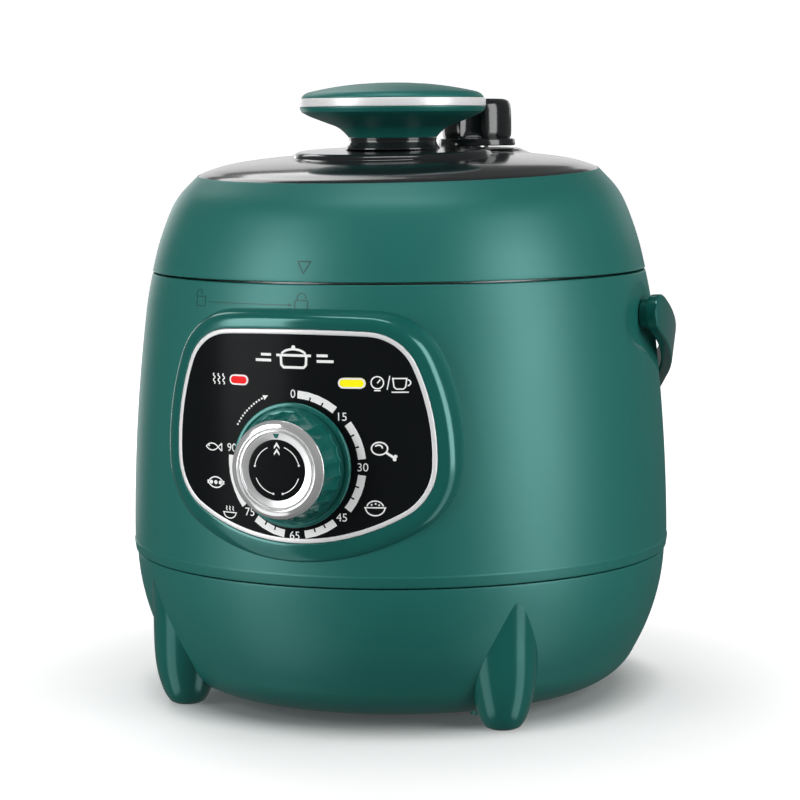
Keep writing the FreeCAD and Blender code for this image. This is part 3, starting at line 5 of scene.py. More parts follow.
import bmesh
import bpy
import numpy as np
from bpy.props import FloatProperty, FloatVectorProperty, IntProperty, PointerProperty
from mathutils import Matrix, Vector
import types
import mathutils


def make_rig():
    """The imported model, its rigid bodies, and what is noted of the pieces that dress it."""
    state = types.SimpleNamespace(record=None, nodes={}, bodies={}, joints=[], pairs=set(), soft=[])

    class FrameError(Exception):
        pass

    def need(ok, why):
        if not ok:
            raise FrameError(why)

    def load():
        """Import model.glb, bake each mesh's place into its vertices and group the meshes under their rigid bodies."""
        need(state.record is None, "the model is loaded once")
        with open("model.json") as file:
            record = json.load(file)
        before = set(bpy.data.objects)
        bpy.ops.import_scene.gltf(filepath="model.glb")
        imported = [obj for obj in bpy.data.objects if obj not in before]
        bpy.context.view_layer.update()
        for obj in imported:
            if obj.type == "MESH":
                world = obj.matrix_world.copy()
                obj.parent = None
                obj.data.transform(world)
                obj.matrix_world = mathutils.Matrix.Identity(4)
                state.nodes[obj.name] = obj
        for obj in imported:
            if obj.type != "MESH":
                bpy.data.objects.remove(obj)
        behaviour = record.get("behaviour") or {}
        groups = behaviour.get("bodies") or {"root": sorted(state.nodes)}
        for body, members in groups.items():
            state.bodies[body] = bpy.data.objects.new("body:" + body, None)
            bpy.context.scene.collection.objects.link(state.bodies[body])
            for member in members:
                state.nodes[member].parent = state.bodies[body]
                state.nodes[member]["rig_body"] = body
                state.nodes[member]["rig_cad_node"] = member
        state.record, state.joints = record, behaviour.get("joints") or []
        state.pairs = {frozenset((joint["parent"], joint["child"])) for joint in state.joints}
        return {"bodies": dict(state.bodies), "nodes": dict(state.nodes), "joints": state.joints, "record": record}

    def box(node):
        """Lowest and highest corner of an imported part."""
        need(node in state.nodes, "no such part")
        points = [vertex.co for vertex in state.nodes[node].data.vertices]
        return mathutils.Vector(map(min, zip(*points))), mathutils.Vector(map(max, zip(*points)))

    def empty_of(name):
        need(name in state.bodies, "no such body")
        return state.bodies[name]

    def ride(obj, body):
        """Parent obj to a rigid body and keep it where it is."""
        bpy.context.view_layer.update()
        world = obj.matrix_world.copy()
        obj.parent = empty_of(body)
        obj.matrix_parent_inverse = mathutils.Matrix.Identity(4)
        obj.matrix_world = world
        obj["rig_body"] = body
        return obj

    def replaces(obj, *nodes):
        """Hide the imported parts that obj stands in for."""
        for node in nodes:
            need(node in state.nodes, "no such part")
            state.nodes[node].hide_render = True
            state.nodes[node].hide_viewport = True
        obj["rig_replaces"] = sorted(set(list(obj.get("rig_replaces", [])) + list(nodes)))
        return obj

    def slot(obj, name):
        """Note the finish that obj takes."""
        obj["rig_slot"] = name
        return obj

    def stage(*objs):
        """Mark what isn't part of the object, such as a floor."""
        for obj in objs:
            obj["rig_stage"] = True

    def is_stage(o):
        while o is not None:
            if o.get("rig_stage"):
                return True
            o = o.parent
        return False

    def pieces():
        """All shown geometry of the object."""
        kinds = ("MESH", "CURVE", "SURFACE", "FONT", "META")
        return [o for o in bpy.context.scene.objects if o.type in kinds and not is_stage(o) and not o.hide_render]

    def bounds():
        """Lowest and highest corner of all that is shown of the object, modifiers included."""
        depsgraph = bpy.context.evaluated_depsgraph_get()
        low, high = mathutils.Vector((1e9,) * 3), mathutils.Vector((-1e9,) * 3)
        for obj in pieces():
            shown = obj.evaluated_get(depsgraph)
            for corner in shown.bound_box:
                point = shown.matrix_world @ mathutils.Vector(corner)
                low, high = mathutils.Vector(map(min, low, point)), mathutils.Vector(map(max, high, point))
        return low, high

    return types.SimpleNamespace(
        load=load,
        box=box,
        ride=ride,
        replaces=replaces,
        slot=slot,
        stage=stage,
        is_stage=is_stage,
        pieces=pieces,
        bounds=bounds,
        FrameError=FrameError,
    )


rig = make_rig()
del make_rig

bl_info = {
    "name": "Pressure Cooker",
    "version": (1, 0, 0),
    "blender": (4, 5, 0),
    "location": "3D View > Sidebar > Cooker",
    "description": "Builds the skins, prints and finishes of an electric pressure cooker on its frame",
    "category": "Add Mesh",
}

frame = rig.load()
FRAME_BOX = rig.bounds()
MM = 0.001


# ---------------------------------------------------------------- places from the frame
def corner(node, end, axis):
    """One coordinate of a node's box at rest, in millimetres: end 0 is the lowest, 1 the highest."""
    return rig.box(node)[end]["xyz".index(axis)] / MM


def middle(node, axis):
    return (corner(node, 0, axis) + corner(node, 1, axis)) / 2


SHELL_FOOT = corner("body_shell", 0, "z")
SHELL_TOP = corner("body_shell", 1, "z")
BOWL_FLAT = corner("base_bowl", 0, "z")
LID_FOOT = corner("lid_shell", 0, "z")
CROWN = middle("lid_shell", "z") * 2 - LID_FOOT - 3.2
KNOB_Y = middle("knob_band", "y")
BAND_FOOT = corner("knob_band", 0, "z")
BAND_TOP = corner("knob_band", 1, "z")
VALVE_X, VALVE_Y = middle("valve_cap", "x"), middle("valve_cap", "y")
FLOAT_X, FLOAT_Y = middle("float_pin", "x"), middle("float_pin", "y")
PANEL_FRONT = -corner("panel_rim", 0, "y")
DIAL_Z = middle("timer_knob", "z")
DIAL_BACK = -corner("timer_knob", 1, "y")
DIAL_TIP = -corner("timer_knob", 0, "y")
LAMP_Z = middle("heating_lamp", "z")
LAMPS = (("heating_lamp", "red_lens", 2.2), ("keep_warm_lamp", "amber_lens", 3.2))
PIVOT_Y, PIVOT_Z = middle("handle_pivot_pins", "y"), middle("handle_pivot_pins", "z")
INLET_Z = middle("inlet_housing", "z")
BOWL_RIM = 111.7
SEAM = 0.6
AIM_HEIGHT = 130.0 * MM


# ---------------------------------------------------------------- settings
def length(name, description, millimetres):
    return FloatProperty(name=name, description=description, default=millimetres * MM, min=0.0,
                         unit="LENGTH", precision=4)


def share(name, description, value):
    return FloatProperty(name=name, description=description, default=value, min=0.0, max=1.0,
                         subtype="FACTOR")


def angle(name, description, degrees):
    return FloatProperty(name=name, description=description, default=math.radians(degrees), subtype="ANGLE")


def colour(name, description, value):
    return FloatVectorProperty(name=name, description=description, default=value, size=3, min=0.0, max=1.0,
                               subtype="COLOR")


class CookerBody(bpy.types.PropertyGroup):
    """Sizes of the body, its bowl and its legs."""

    waist: length("Waist radius", "Largest radius of the shell, at its lower edge",
                  corner("body_shell", 1, "x"))
    shoulder: length("Shoulder radius", "Radius where the barrel turns in to the mouth", 105.9)
    mouth: length("Mouth radius", "Radius of the shell's top edge", 103.4)
    waist_height: length("Waist height", "Height of the step above the shell's lower edge", 64.4)
    shoulder_height: length("Shoulder height", "Height at which the barrel turns in to the mouth", 163.0)
    barrel_bow: length("Barrel bow", "Radius of the barrel's side, seen from the side", 764.0)
    shoulder_bow: length("Shoulder bow", "Radius of the turn above the barrel's side", 150.0)
    recess: length("Recess distance", "Distance of the flat behind a handle arm from the axis", 104.2)
    recess_half: length("Recess half width", "Half width of that flat", 12.4)
    recess_soft: length("Recess edge", "Width over which the recess fades into the shell", 6.0)
    bowl_side: length("Bowl side radius", "Radius where the bowl's side meets its round bottom", 99.9)
    bowl_flat: length("Bowl flat radius", "Radius of the flat underside", 77.0)
    leg_ring: length("Leg ring radius", "Radius of the ring that the feet stand on", 97.1)
    leg_foot: length("Leg foot radius", "Radius of a leg at the bottom", 7.9)


class CookerLid(bpy.types.PropertyGroup):
    """Sizes of the lid, its knob and its valve."""

    foot: length("Foot radius", "Radius of the lid's lower edge", corner("lid_shell", 1, "x"))
    crown: length("Crown radius", "Radius of the black cover's edge", corner("lid_cover", 1, "x"))
    tilt: angle("Crown tilt", "How far the crown leans to the front", 2.2)
    wall: length("Wall", "Wall of the lid's shell and cover", 2.6)
    knob: length("Knob radius", "Radius of the knob's bright band", corner("knob_band", 1, "x"))
    valve: length("Valve radius", "Radius of the exhaust valve's cap", 15.0)
    valve_lobes: IntProperty(name="Valve lobes", description="Lobes round the valve's cap", default=3, min=2)
    valve_turn: angle("Valve turn", "Direction of a groove of the exhaust valve's cap", 42.0)


class CookerPanel(bpy.types.PropertyGroup):
    """Sizes of the control panel and its timer knob."""

    curve: length("Face radius", "Radius of the panel's curved face", 134.0)
    rim: length("Rim width", "Width of the bright rim", 1.8)
    land: length("Bezel land", "Width of the bezel's front face", 2.4)
    foot: length("Bezel foot", "Width of the bezel on the shell", 7.4)
    scale: length("Scale radius", "Outer radius of the minute scale", 28.7)
    scale_width: length("Scale width", "Width of the minute scale", 3.0)
    digit: length("Digit size", "Type size of the scale's numbers", 4.5)
    flange: length("Flange radius", "Radius of the timer knob's flange", corner("timer_knob", 1, "x"))
    flutes: IntProperty(name="Flutes", description="Flutes round the timer knob's grip", default=24, min=8)
    flute_depth: length("Flute depth", "Depth of a flute", 0.55)


class CookerHandle(bpy.types.PropertyGroup):
    """Sizes of the carry handle."""

    hoop: length("Arm radius", "Radius of the arms, seen from above", 110.8)
    centre: length("Arm centre", "Distance of the arms' centre from the pivots", 6.5)
    arm: length("Arm length", "Distance from the pivots at which the arms turn straight", 50.0)
    reach: length("Reach", "Distance from the pivots to the middle of the grip", 128.2)
    half: length("Half width", "Half width of the band", 7.9)
    thick: length("Thickness", "Thickness of the band", 4.8)
    edge: length("Edge radius", "Radius of the band's long edges", 1.2)
    rest: angle("Rest angle", "How far the handle hangs below level", 26.0)


class CookerFinish(bpy.types.PropertyGroup):
    """Colours and gloss."""

    green: colour("Green", "Colour of the green plastic", (0.009, 0.132, 0.113))
    sheen: colour("Sheen", "Colour of the light that the green plastic mirrors", (0.5, 1.0, 0.96))
    black: colour("Black", "Colour of the gloss black plastic", (0.010, 0.012, 0.013))
    print: colour("Print", "Colour of the panel's print", (0.95, 0.96, 0.95))
    satin: share("Satin roughness", "Roughness of the satin green", 0.43)
    gloss: share("Gloss roughness", "Roughness of the gloss green", 0.17)


class CookerStudio(bpy.types.PropertyGroup):
    """Camera and light."""

    turn: angle("Turn", "How far the camera stands to the right of the front", 21.0)
    distance: length("Distance", "Distance of the camera from the axis", 1050.0)
    height: length("Height", "Height of the camera", 236.1)
    pitch: angle("Pitch", "How far the camera looks down", 6.29)
    roll: angle("Roll", "How far the picture is turned", 0.45)
    lens: FloatProperty(name="Lens", description="Focal length in millimetres", default=112.0, min=1.0)
    sky: FloatProperty(name="Sky", description="Strength of the even light", default=0.14, min=0.0)
    key: FloatProperty(name="Key", description="Power of the main softbox in watts", default=18.5, min=0.0)


class CookerSettings(bpy.types.PropertyGroup):
    """All settings of the cooker."""

    body: PointerProperty(type=CookerBody)
    lid: PointerProperty(type=CookerLid)
    panel: PointerProperty(type=CookerPanel)
    handle: PointerProperty(type=CookerHandle)
    finish: PointerProperty(type=CookerFinish)
    studio: PointerProperty(type=CookerStudio)


# ---------------------------------------------------------------- finishes
class Strand:
    """A value in a finish's node tree; sums with it add Math nodes."""

    def __init__(self, finish, socket):
        self.finish = finish
        self.socket = socket

    def sum(self, operation, first, second=0.0):
        return self.finish.node("ShaderNodeMath", {"operation": operation}, {0: first, 1: second})

    def __add__(self, other):
        return self.sum("ADD", self, other)

    def __radd__(self, other):
        return self.sum("ADD", other, self)

    def __sub__(self, other):
        return self.sum("SUBTRACT", self, other)

    def __rsub__(self, other):
        return self.sum("SUBTRACT", other, self)

    def __mul__(self, other):
        return self.sum("MULTIPLY", self, other)

    def __rmul__(self, other):
        return self.sum("MULTIPLY", other, self)

    def above(self, limit):
        return self.sum("GREATER_THAN", self, limit)


class Finish:
    """A procedural material: one shader fed by patterns in object space."""

    def __init__(self, name, colour, roughness, metallic=0.0, **fixed):
        self.material = bpy.data.materials.new(name)
        self.material.use_nodes = True
        self.tree = self.material.node_tree
        self.tree.nodes.clear()
        output = self.tree.nodes.new("ShaderNodeOutputMaterial")
        self.shader = self.tree.nodes.new("ShaderNodeBsdfPrincipled")
        self.tree.links.new(self.shader.outputs["BSDF"], output.inputs["Surface"])
        self.base = (*colour, 1.0)
        self.roughness = roughness
        self.shader.inputs["Base Color"].default_value = self.base
        self.shader.inputs["Roughness"].default_value = roughness
        self.shader.inputs["Metallic"].default_value = metallic
        for key, value in fixed.items():
            self.shader.inputs[key.replace("_", " ")].default_value = value
        self.place = self.node("ShaderNodeTexCoord", output="Object")

    def node(self, kind, settings=None, inputs=None, output=0):
        """Add a node: its settings first, then the values or links of its sockets."""
        made = self.tree.nodes.new(kind)
        for key, value in (settings or {}).items():
            if key == "stops":
                ramp = made.color_ramp.elements
                for i, (position, tone) in enumerate(value):
                    stop = ramp[i] if i < 2 else ramp.new(position)
                    stop.position = position
                    stop.color = (tone, tone, tone, 1.0)
            else:
                setattr(made, key, value)
        for key, value in (inputs or {}).items():
            if isinstance(value, Strand):
                self.tree.links.new(value.socket, made.inputs[key])
            else:
                made.inputs[key].default_value = value
        return Strand(self, made.outputs[output])

    def feed(self, socket, strand):
        self.tree.links.new(strand.socket, self.shader.inputs[socket])
        return self

    def noise(self, scale, detail, stretch=None):
        """Noise in object space, per metre, optionally stretched along an axis."""
        where = self.place
        if stretch is not None:
            where = self.node("ShaderNodeMapping", None, {"Vector": where, "Scale": stretch})
        return self.node("ShaderNodeTexNoise", None, {
            "Vector": where, "Scale": scale, "Detail": detail})

    def turned(self, scale, centre=(0.0, 0.0, 0.0), axis="z"):
        """Noise that changes only with the distance from an axis, as on turned metal."""
        moved = self.node("ShaderNodeVectorMath", {"operation": "SUBTRACT"}, {0: self.place, 1: centre})
        flat = [0.0 if letter == axis else 1.0 for letter in "xyz"]
        flattened = self.node("ShaderNodeVectorMath", {"operation": "MULTIPLY"}, {0: moved, 1: flat})
        away = self.node("ShaderNodeVectorMath", {"operation": "LENGTH"}, {0: flattened}, output="Value")
        return self.node("ShaderNodeTexNoise", {"noise_dimensions": "1D"}, {
            "W": away, "Scale": scale, "Detail": 3.0, "Roughness": 0.7})

    def mottle(self, pattern, tone):
        """Mix the base colour towards another tone by a pattern."""
        other = tuple(min(1.0, c * tone) for c in self.base[:3]) + (1.0,)
        mixed = self.node("ShaderNodeMix", {"data_type": "RGBA"}, {
            0: pattern, 6: self.base, 7: other}, output=2)
        return self.feed("Base Color", mixed)

    def vary_gloss(self, pattern, amount):
        return self.feed("Roughness", self.roughness + (pattern - 0.5) * (2.0 * amount))

    def relief(self, pattern, depth, strength):
        """Bump the surface by a pattern, to a depth in millimetres."""
        bumped = self.node("ShaderNodeBump", None, {
            "Strength": strength, "Distance": depth * MM, "Height": pattern})
        return self.feed("Normal", bumped)

    def grain(self, spots, sheen, bumps):
        """The usual noises: scale and detail, then a tone, a gloss amount, or a depth and strength."""
        self.mottle(self.noise(*spots[:2]), spots[2])
        if sheen:
            self.vary_gloss(self.noise(*sheen[:2]), sheen[2])
        return self.relief(self.noise(*bumps[:2]), *bumps[2:])


FINISHES = {}


def finish(name):
    """The finish of that name, made when first asked for."""
    if name not in FINISHES:
        FINISHES[name] = globals()["finish_" + name]()
    return FINISHES[name].material


def choice(name):
    """One of the user's colours or roughnesses."""
    return getattr(bpy.context.scene.cooker.finish, name)


def shade(name, share_):
    """One of the user's colours, made darker."""
    return tuple(c * share_ for c in choice(name))


def finish_green_satin():
    made = Finish("GreenSatin", choice("green"), choice("satin"), Specular_Tint=(*choice("sheen"), 1.0),
                  Specular_IOR_Level=0.95)
    return made.grain((38.0, 3.0, 1.05), (55.0, 2.0, 0.02), (2600.0, 3.0, 0.004, 0.35))


def finish_green_gloss():
    made = Finish("GreenGloss", shade("green", 0.85), choice("gloss"),
                  Specular_Tint=(*choice("sheen"), 1.0), Specular_IOR_Level=0.8,
                  Coat_Weight=0.03, Coat_Roughness=0.06)
    return made.grain((50.0, 2.0, 1.06), (90.0, 3.0, 0.025), (420.0, 2.0, 0.004, 0.15))


def finish_green_mark():
    made = Finish("GreenMark", shade("green", 0.62), choice("satin"))
    return made.grain((200.0, 2.0, 1.1), None, (2600.0, 2.0, 0.004, 0.3))


def finish_black_gloss():
    made = Finish("BlackGloss", choice("black"), 0.16, Coat_Weight=0.3, Coat_Roughness=0.05)
    return made.grain((60.0, 2.0, 1.25), (120.0, 4.0, 0.02), (160.0, 1.0, 0.002, 0.1))


def finish_panel_black():
    made = Finish("PanelBlack", shade("black", 0.7), 0.2, Specular_IOR_Level=0.04)
    return made.grain((70.0, 2.0, 1.2), (160.0, 3.0, 0.02), (900.0, 2.0, 0.002, 0.1))


def finish_black_matte():
    made = Finish("BlackMatte", (0.022, 0.022, 0.023), 0.55)
    return made.grain((120.0, 3.0, 1.3), (200.0, 2.0, 0.05), (3000.0, 3.0, 0.01, 0.6))


def finish_bright():
    made = Finish("BrightPlating", (0.93, 0.935, 0.94), 0.12, 0.72)
    return made.grain((80.0, 2.0, 0.97), (240.0, 3.0, 0.02), (500.0, 1.0, 0.001, 0.1))


def finish_silver_rim():
    # The near-white, barely metallic colour stands in for the bright reflections chrome would show: painted
    # reflection.
    made = Finish("SilverRim", (0.95, 0.955, 0.96), 0.34, 0.15)
    return made.grain((90.0, 2.0, 0.95), (260.0, 3.0, 0.03), (900.0, 2.0, 0.002, 0.2))


def finish_dial_silver():
    dial = (0.0, -DIAL_TIP * MM, DIAL_Z * MM)
    made = Finish("TurnedSilver", (0.86, 0.865, 0.87), 0.24, 0.6)
    rings = made.turned(3200.0, dial, "y")
    made.mottle(rings, 0.9)
    made.vary_gloss(rings, 0.06)
    return made.relief(rings, 0.006, 0.5)


def finish_pressed_aluminium():
    made = Finish("PressedAluminium", (0.74, 0.75, 0.76), 0.3, 1.0)
    rings = made.turned(2400.0)
    made.mottle(made.noise(45.0, 3.0), 0.93)
    made.vary_gloss(rings, 0.08)
    return made.relief(rings, 0.01, 0.5)


def finish_cast_aluminium():
    made = Finish("CastAluminium", (0.58, 0.58, 0.59), 0.45, 1.0)
    made.mottle(made.noise(90.0, 5.0), 0.86)
    made.vary_gloss(made.noise(260.0, 4.0), 0.08)
    return made.relief(made.noise(650.0, 5.0) + made.turned(1500.0) * 0.4, 0.03, 0.7)


def finish_steel():
    made = Finish("ZincSteel", (0.6, 0.6, 0.61), 0.3, 1.0)
    made.mottle(made.noise(120.0, 4.0), 0.85)
    made.vary_gloss(made.noise(300.0, 3.0, (1.0, 1.0, 0.1)), 0.07)
    return made.relief(made.noise(1800.0, 2.0, (1.0, 1.0, 0.08)), 0.005, 0.4)


def finish_nonstick():
    made = Finish("NonStick", (0.045, 0.045, 0.048), 0.34, 0.35)
    made.mottle(made.noise(1500.0, 1.0).above(0.68), 3.2)
    made.vary_gloss(made.noise(140.0, 3.0), 0.05)
    return made.relief(made.noise(2200.0, 3.0), 0.008, 0.5)


def finish_brass():
    made = Finish("Brass", (0.75, 0.58, 0.28), 0.28, 1.0)
    return made.grain((250.0, 3.0, 0.82), (500.0, 2.0, 0.06), (1600.0, 2.0, 0.004, 0.4))


def finish_silicone():
    made = Finish("Silicone", (0.78, 0.78, 0.75), 0.45, Subsurface_Weight=0.25, Subsurface_Scale=0.002)
    return made.grain((60.0, 3.0, 0.94), (150.0, 2.0, 0.05), (1400.0, 2.0, 0.006, 0.4))


def finish_black_rubber():
    made = Finish("BlackRubber", (0.028, 0.028, 0.028), 0.75)
    return made.grain((300.0, 3.0, 1.5), (260.0, 3.0, 0.07), (2600.0, 3.0, 0.02, 0.7))


def finish_white_plastic():
    made = Finish("WhitePlastic", (0.74, 0.74, 0.72), 0.42)
    return made.grain((70.0, 3.0, 0.95), (180.0, 3.0, 0.05), (2400.0, 2.0, 0.008, 0.5))


def finish_white_print():
    # The print glows a little although it is no lamp: painted light that brightens it.
    made = Finish("WhitePrint", choice("print"), 0.42, Emission_Color=(1.0, 1.0, 1.0, 1.0),
                  Emission_Strength=0.12)
    return made.grain((600.0, 3.0, 0.94), (800.0, 2.0, 0.05), (3000.0, 2.0, 0.003, 0.4))


def lens(name, colour, mirror, tone, glow, faint):
    """A lamp's lens, which glows a little; mirror is its specular level."""
    made = Finish(name, colour, 0.3, Specular_IOR_Level=mirror, Emission_Strength=0.35)
    made.mottle(made.noise(900.0, 2.0), tone)
    made.feed("Emission Color", made.node("ShaderNodeMix", {"data_type": "RGBA"}, {
        0: made.noise(700.0, 2.0), 6: (*glow, 1.0), 7: (*faint, 1.0)}, output=2))
    return made.relief(made.noise(1500.0, 2.0), 0.004, 0.3)


def finish_red_lens():
    return lens("RedLens", (0.8, 0.006, 0.008), 0.1, 0.88, (0.9, 0.01, 0.012), (0.75, 0.006, 0.01))


def finish_amber_lens():
    return lens("AmberLens", (0.93, 0.84, 0.008), 0.2, 0.9, (1.0, 0.9, 0.01), (0.9, 0.75, 0.008))


def finish_circuit_board():
    made = Finish("CircuitBoard", (0.33, 0.2, 0.075), 0.5)
    tracks = made.node("ShaderNodeTexBrick", None, {
        "Vector": made.place, "Scale": 260.0, "Mortar Size": 0.04}, output="Fac")
    made.mottle(tracks, 0.55)
    made.vary_gloss(made.noise(300.0, 2.0), 0.06)
    return made.relief(made.noise(1200.0, 3.0), 0.01, 0.5)


def finish_floor():
    """A pale floor that glows white away from the object and glows less near it, which paints a shadow under the
    object.
    """
    made = Finish("StudioFloor", (0.72, 0.72, 0.72), 0.75, Emission_Strength=1.0)
    made.mottle(made.noise(3.0, 2.0), 0.99)
    away = made.node("ShaderNodeVectorMath", {"operation": "LENGTH"}, {0: made.place}, output="Value")
    reach = 0.6
    # Emission falls almost to nothing close to the object: painted shadow beneath it, white glow further out.
    made.feed("Emission Color", made.node("ShaderNodeValToRGB", {"stops": (
        (0.0, 0.0), (1.0, 0.95), (0.15, 0.06), (0.19, 0.46), (0.3, 0.64), (0.6, 0.84))},
        {"Fac": away * (1.0 / reach)}))
    return made.vary_gloss(made.noise(20.0, 2.0), 0.03)


# ---------------------------------------------------------------- shapes
def rounded(points, closed=True, count=5):
    """An outline with round corners: a point is (x, y), or (x, y, radius) where it is rounded."""
    out = []
    last = len(points) - 1
    for i, point in enumerate(points):
        here = np.array(point[:2], float)
        if len(point) == 2 or (not closed and i in (0, last)):
            out.append(tuple(here))
            continue
        before = np.array(points[i - 1][:2], float) - here
        after = np.array(points[(i + 1) % len(points)][:2], float) - here
        reach = [np.linalg.norm(before), np.linalg.norm(after)]
        before, after = before / reach[0], after / reach[1]
        opening = math.acos(max(-1.0, min(1.0, float(before @ after))))
        run = min(point[2] / math.tan(opening / 2), reach[0] * 0.49, reach[1] * 0.49)
        start, end = here + before * run, here + after * run
        for t in np.linspace(0.0, 1.0, count):
            out.append(tuple((1 - t) ** 2 * start + 2 * t * (1 - t) * here + t * t * end))
    return out


def arc(start, end, bow, count):
    """Points from start up to, but not with, end; the arc bows to the right, or left if negative."""
    a, b = np.array(start, float), np.array(end, float)
    chord = b - a
    long = np.linalg.norm(chord)
    side = np.array([chord[1], -chord[0]]) / long * math.copysign(1.0, bow)
    centre = (a + b) / 2 - side * math.sqrt(bow * bow - long * long / 4)
    first = math.atan2(*(a - centre)[::-1])
    turn = math.atan2(*(b - centre)[::-1]) - first
    turn = (turn + math.pi) % (2 * math.pi) - math.pi
    return [tuple(centre + abs(bow) * np.array([math.cos(first + turn * t), math.sin(first + turn * t)]))
            for t in np.arange(count) / count]


def spline(xs, ys):
    """A smooth function through points: natural cubic pieces."""
    xs, ys = np.array(xs, float), np.array(ys, float)
    gaps, count = np.diff(xs), len(xs)
    system, right = np.eye(count), np.zeros(count)
    for i in range(1, count - 1):
        system[i, i - 1:i + 2] = gaps[i - 1], 2 * (gaps[i - 1] + gaps[i]), gaps[i]
        right[i] = 6 * ((ys[i + 1] - ys[i]) / gaps[i] - (ys[i] - ys[i - 1]) / gaps[i - 1])
    bend = np.linalg.solve(system, right)

    def at(x):
        x = np.clip(np.asarray(x, float), xs[0], xs[-1])
        i = np.clip(np.searchsorted(xs, x) - 1, 0, count - 2)
        t, w = x - xs[i], gaps[i]
        return ((bend[i] * (w - t) ** 3 + bend[i + 1] * t ** 3) / (6 * w)
                + (ys[i] / w - bend[i] * w / 6) * (w - t) + (ys[i + 1] / w - bend[i + 1] * w / 6) * t)
    return at


def ease(t):
    t = np.clip(t, 0.0, 1.0)
    return t * t * (3 - 2 * t)


def ring_faces(rows, steps, closed):
    """Faces between rows of points round an axis; a row of one point is a pole."""
    faces = []
    pairs = list(zip(rows, rows[1:])) + ([(rows[-1], rows[0])] if closed else [])
    for (a, many_a), (b, many_b) in pairs:
        for k in range(steps):
            n = (k + 1) % steps
            if many_a and many_b:
                faces.append((a + k, a + n, b + n, b + k))
            elif many_a:
                faces.append((a + k, a + n, b))
            elif many_b:
                faces.append((a, b + n, b + k))
    return faces


def turned(profile, steps=192, centre=(0.0, 0.0)):
    """Points and faces of a profile turned about an upright axis: (radius, height) or with a lean."""
    points, rows = [], []
    around = np.arange(steps) * (2 * math.pi / steps)
    closed = profile[0][0] > 1e-6 and profile[-1][0] > 1e-6
    for row in profile:
        radius, height = row[0], row[1]
        lean = row[2] if len(row) > 2 else 0.0
        many = radius > 1e-6
        rows.append((len(points), many))
        for a in around if many else (0.0,):
            y = radius * math.sin(a)
            points.append((centre[0] + radius * math.cos(a), centre[1] + y * math.cos(lean),
                           height + y * math.sin(lean)))
    return np.array(points), ring_faces(rows, steps, closed)


def fresh(name, points, faces):
    """A mesh object from points in millimetres, its faces turned outwards."""
    mesh = bpy.data.meshes.new(name)
    mesh.from_pydata((np.asarray(points, float) * MM).tolist(), [], [tuple(f) for f in faces])
    form = bmesh.new()
    form.from_mesh(mesh)
    bmesh.ops.remove_doubles(form, verts=form.verts, dist=1e-7)
    bmesh.ops.recalc_face_normals(form, faces=form.faces)
    form.to_mesh(mesh)
    form.free()
    thing = bpy.data.objects.new(name, mesh)
    bpy.context.scene.collection.objects.link(thing)
    return thing


def settle(thing, body, look, *nodes, crease=32.0, slot=None):
    """Finish a piece: shading, material, the body it rides on and the nodes it stands for."""
    mesh = thing.data
    mesh.materials.clear()
    mesh.materials.append(finish(look))
    mesh.shade_smooth()
    mesh.set_sharp_from_angle(angle=math.radians(crease))
    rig.ride(thing, body)
    if nodes:
        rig.replaces(thing, *nodes)
    if slot is not None:
        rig.slot(thing, slot)
    return thing


def evaluated(thing):
    """Turn what a thing's modifiers make into its plain mesh."""
    bpy.context.view_layer.update()
    made = bpy.data.meshes.new_from_object(thing.evaluated_get(bpy.context.evaluated_depsgraph_get()))
    thing.modifiers.clear()
    thing.data = made
    return thing


def carve(thing, *tools):
    """Cut tools out of a thing."""
    for tool in tools:
        cut = thing.modifiers.new("Carve", "BOOLEAN")
        cut.operation = "DIFFERENCE"
        cut.solver = "EXACT"
        cut.object = tool
    evaluated(thing)
    for tool in tools:
        bpy.data.objects.remove(tool)
    return thing


def prism(name, outline, near, far, across="y"):
    """A tool: an outline in x and z run along y, or in x and y run along z."""
    count = len(outline)
    spots = [(x, run, z) if across == "y" else (x, z, run) for run in (near, far) for x, z in outline]
    faces = [tuple(range(count)), tuple(range(count, 2 * count))]
    faces += [(i, (i + 1) % count, count + (i + 1) % count, count + i) for i in range(count)]
    return fresh(name, spots, faces)


def circle_points(x, y, radius, count=32):
    return [(x + radius * math.cos(a), y + radius * math.sin(a))
            for a in np.arange(count) * (2 * math.pi / count)]


# ---------------------------------------------------------------- surfaces that pieces share
def barrel_radius(z):
    """Radius of the shell's outer surface at a height."""
    s = bpy.context.scene.cooker.body
    shoulder, mouth = (s.shoulder / MM, s.shoulder_height / MM), (s.mouth / MM, SHELL_TOP)
    wall = arc((s.waist / MM, s.waist_height / MM), shoulder, s.barrel_bow / MM, 24)
    wall += arc(shoulder, mouth, s.shoulder_bow / MM, 8) + [mouth]
    radii, heights = zip(*wall)
    return np.interp(z, heights, radii)


def bowl_profile():
    s = bpy.context.scene.cooker.body
    side, flat = s.bowl_side / MM, s.bowl_flat / MM
    rim = (BOWL_RIM, SHELL_FOOT - SEAM)
    return arc((flat, BOWL_FLAT), (side, 18.0), 24.0, 14) + arc((side, 18.0), rim, 92.4, 26) + [rim]


def bowl_radius(z):
    radii, heights = zip(*bowl_profile())
    return np.interp(z, heights, radii)


def face_y(x, below=0.0):
    """The y of the panel's curved face, or of a surface that far behind it."""
    curve = bpy.context.scene.cooker.panel.curve / MM
    return (curve - PANEL_FRONT) - np.sqrt((curve - below) ** 2 - np.asarray(x, float) ** 2)


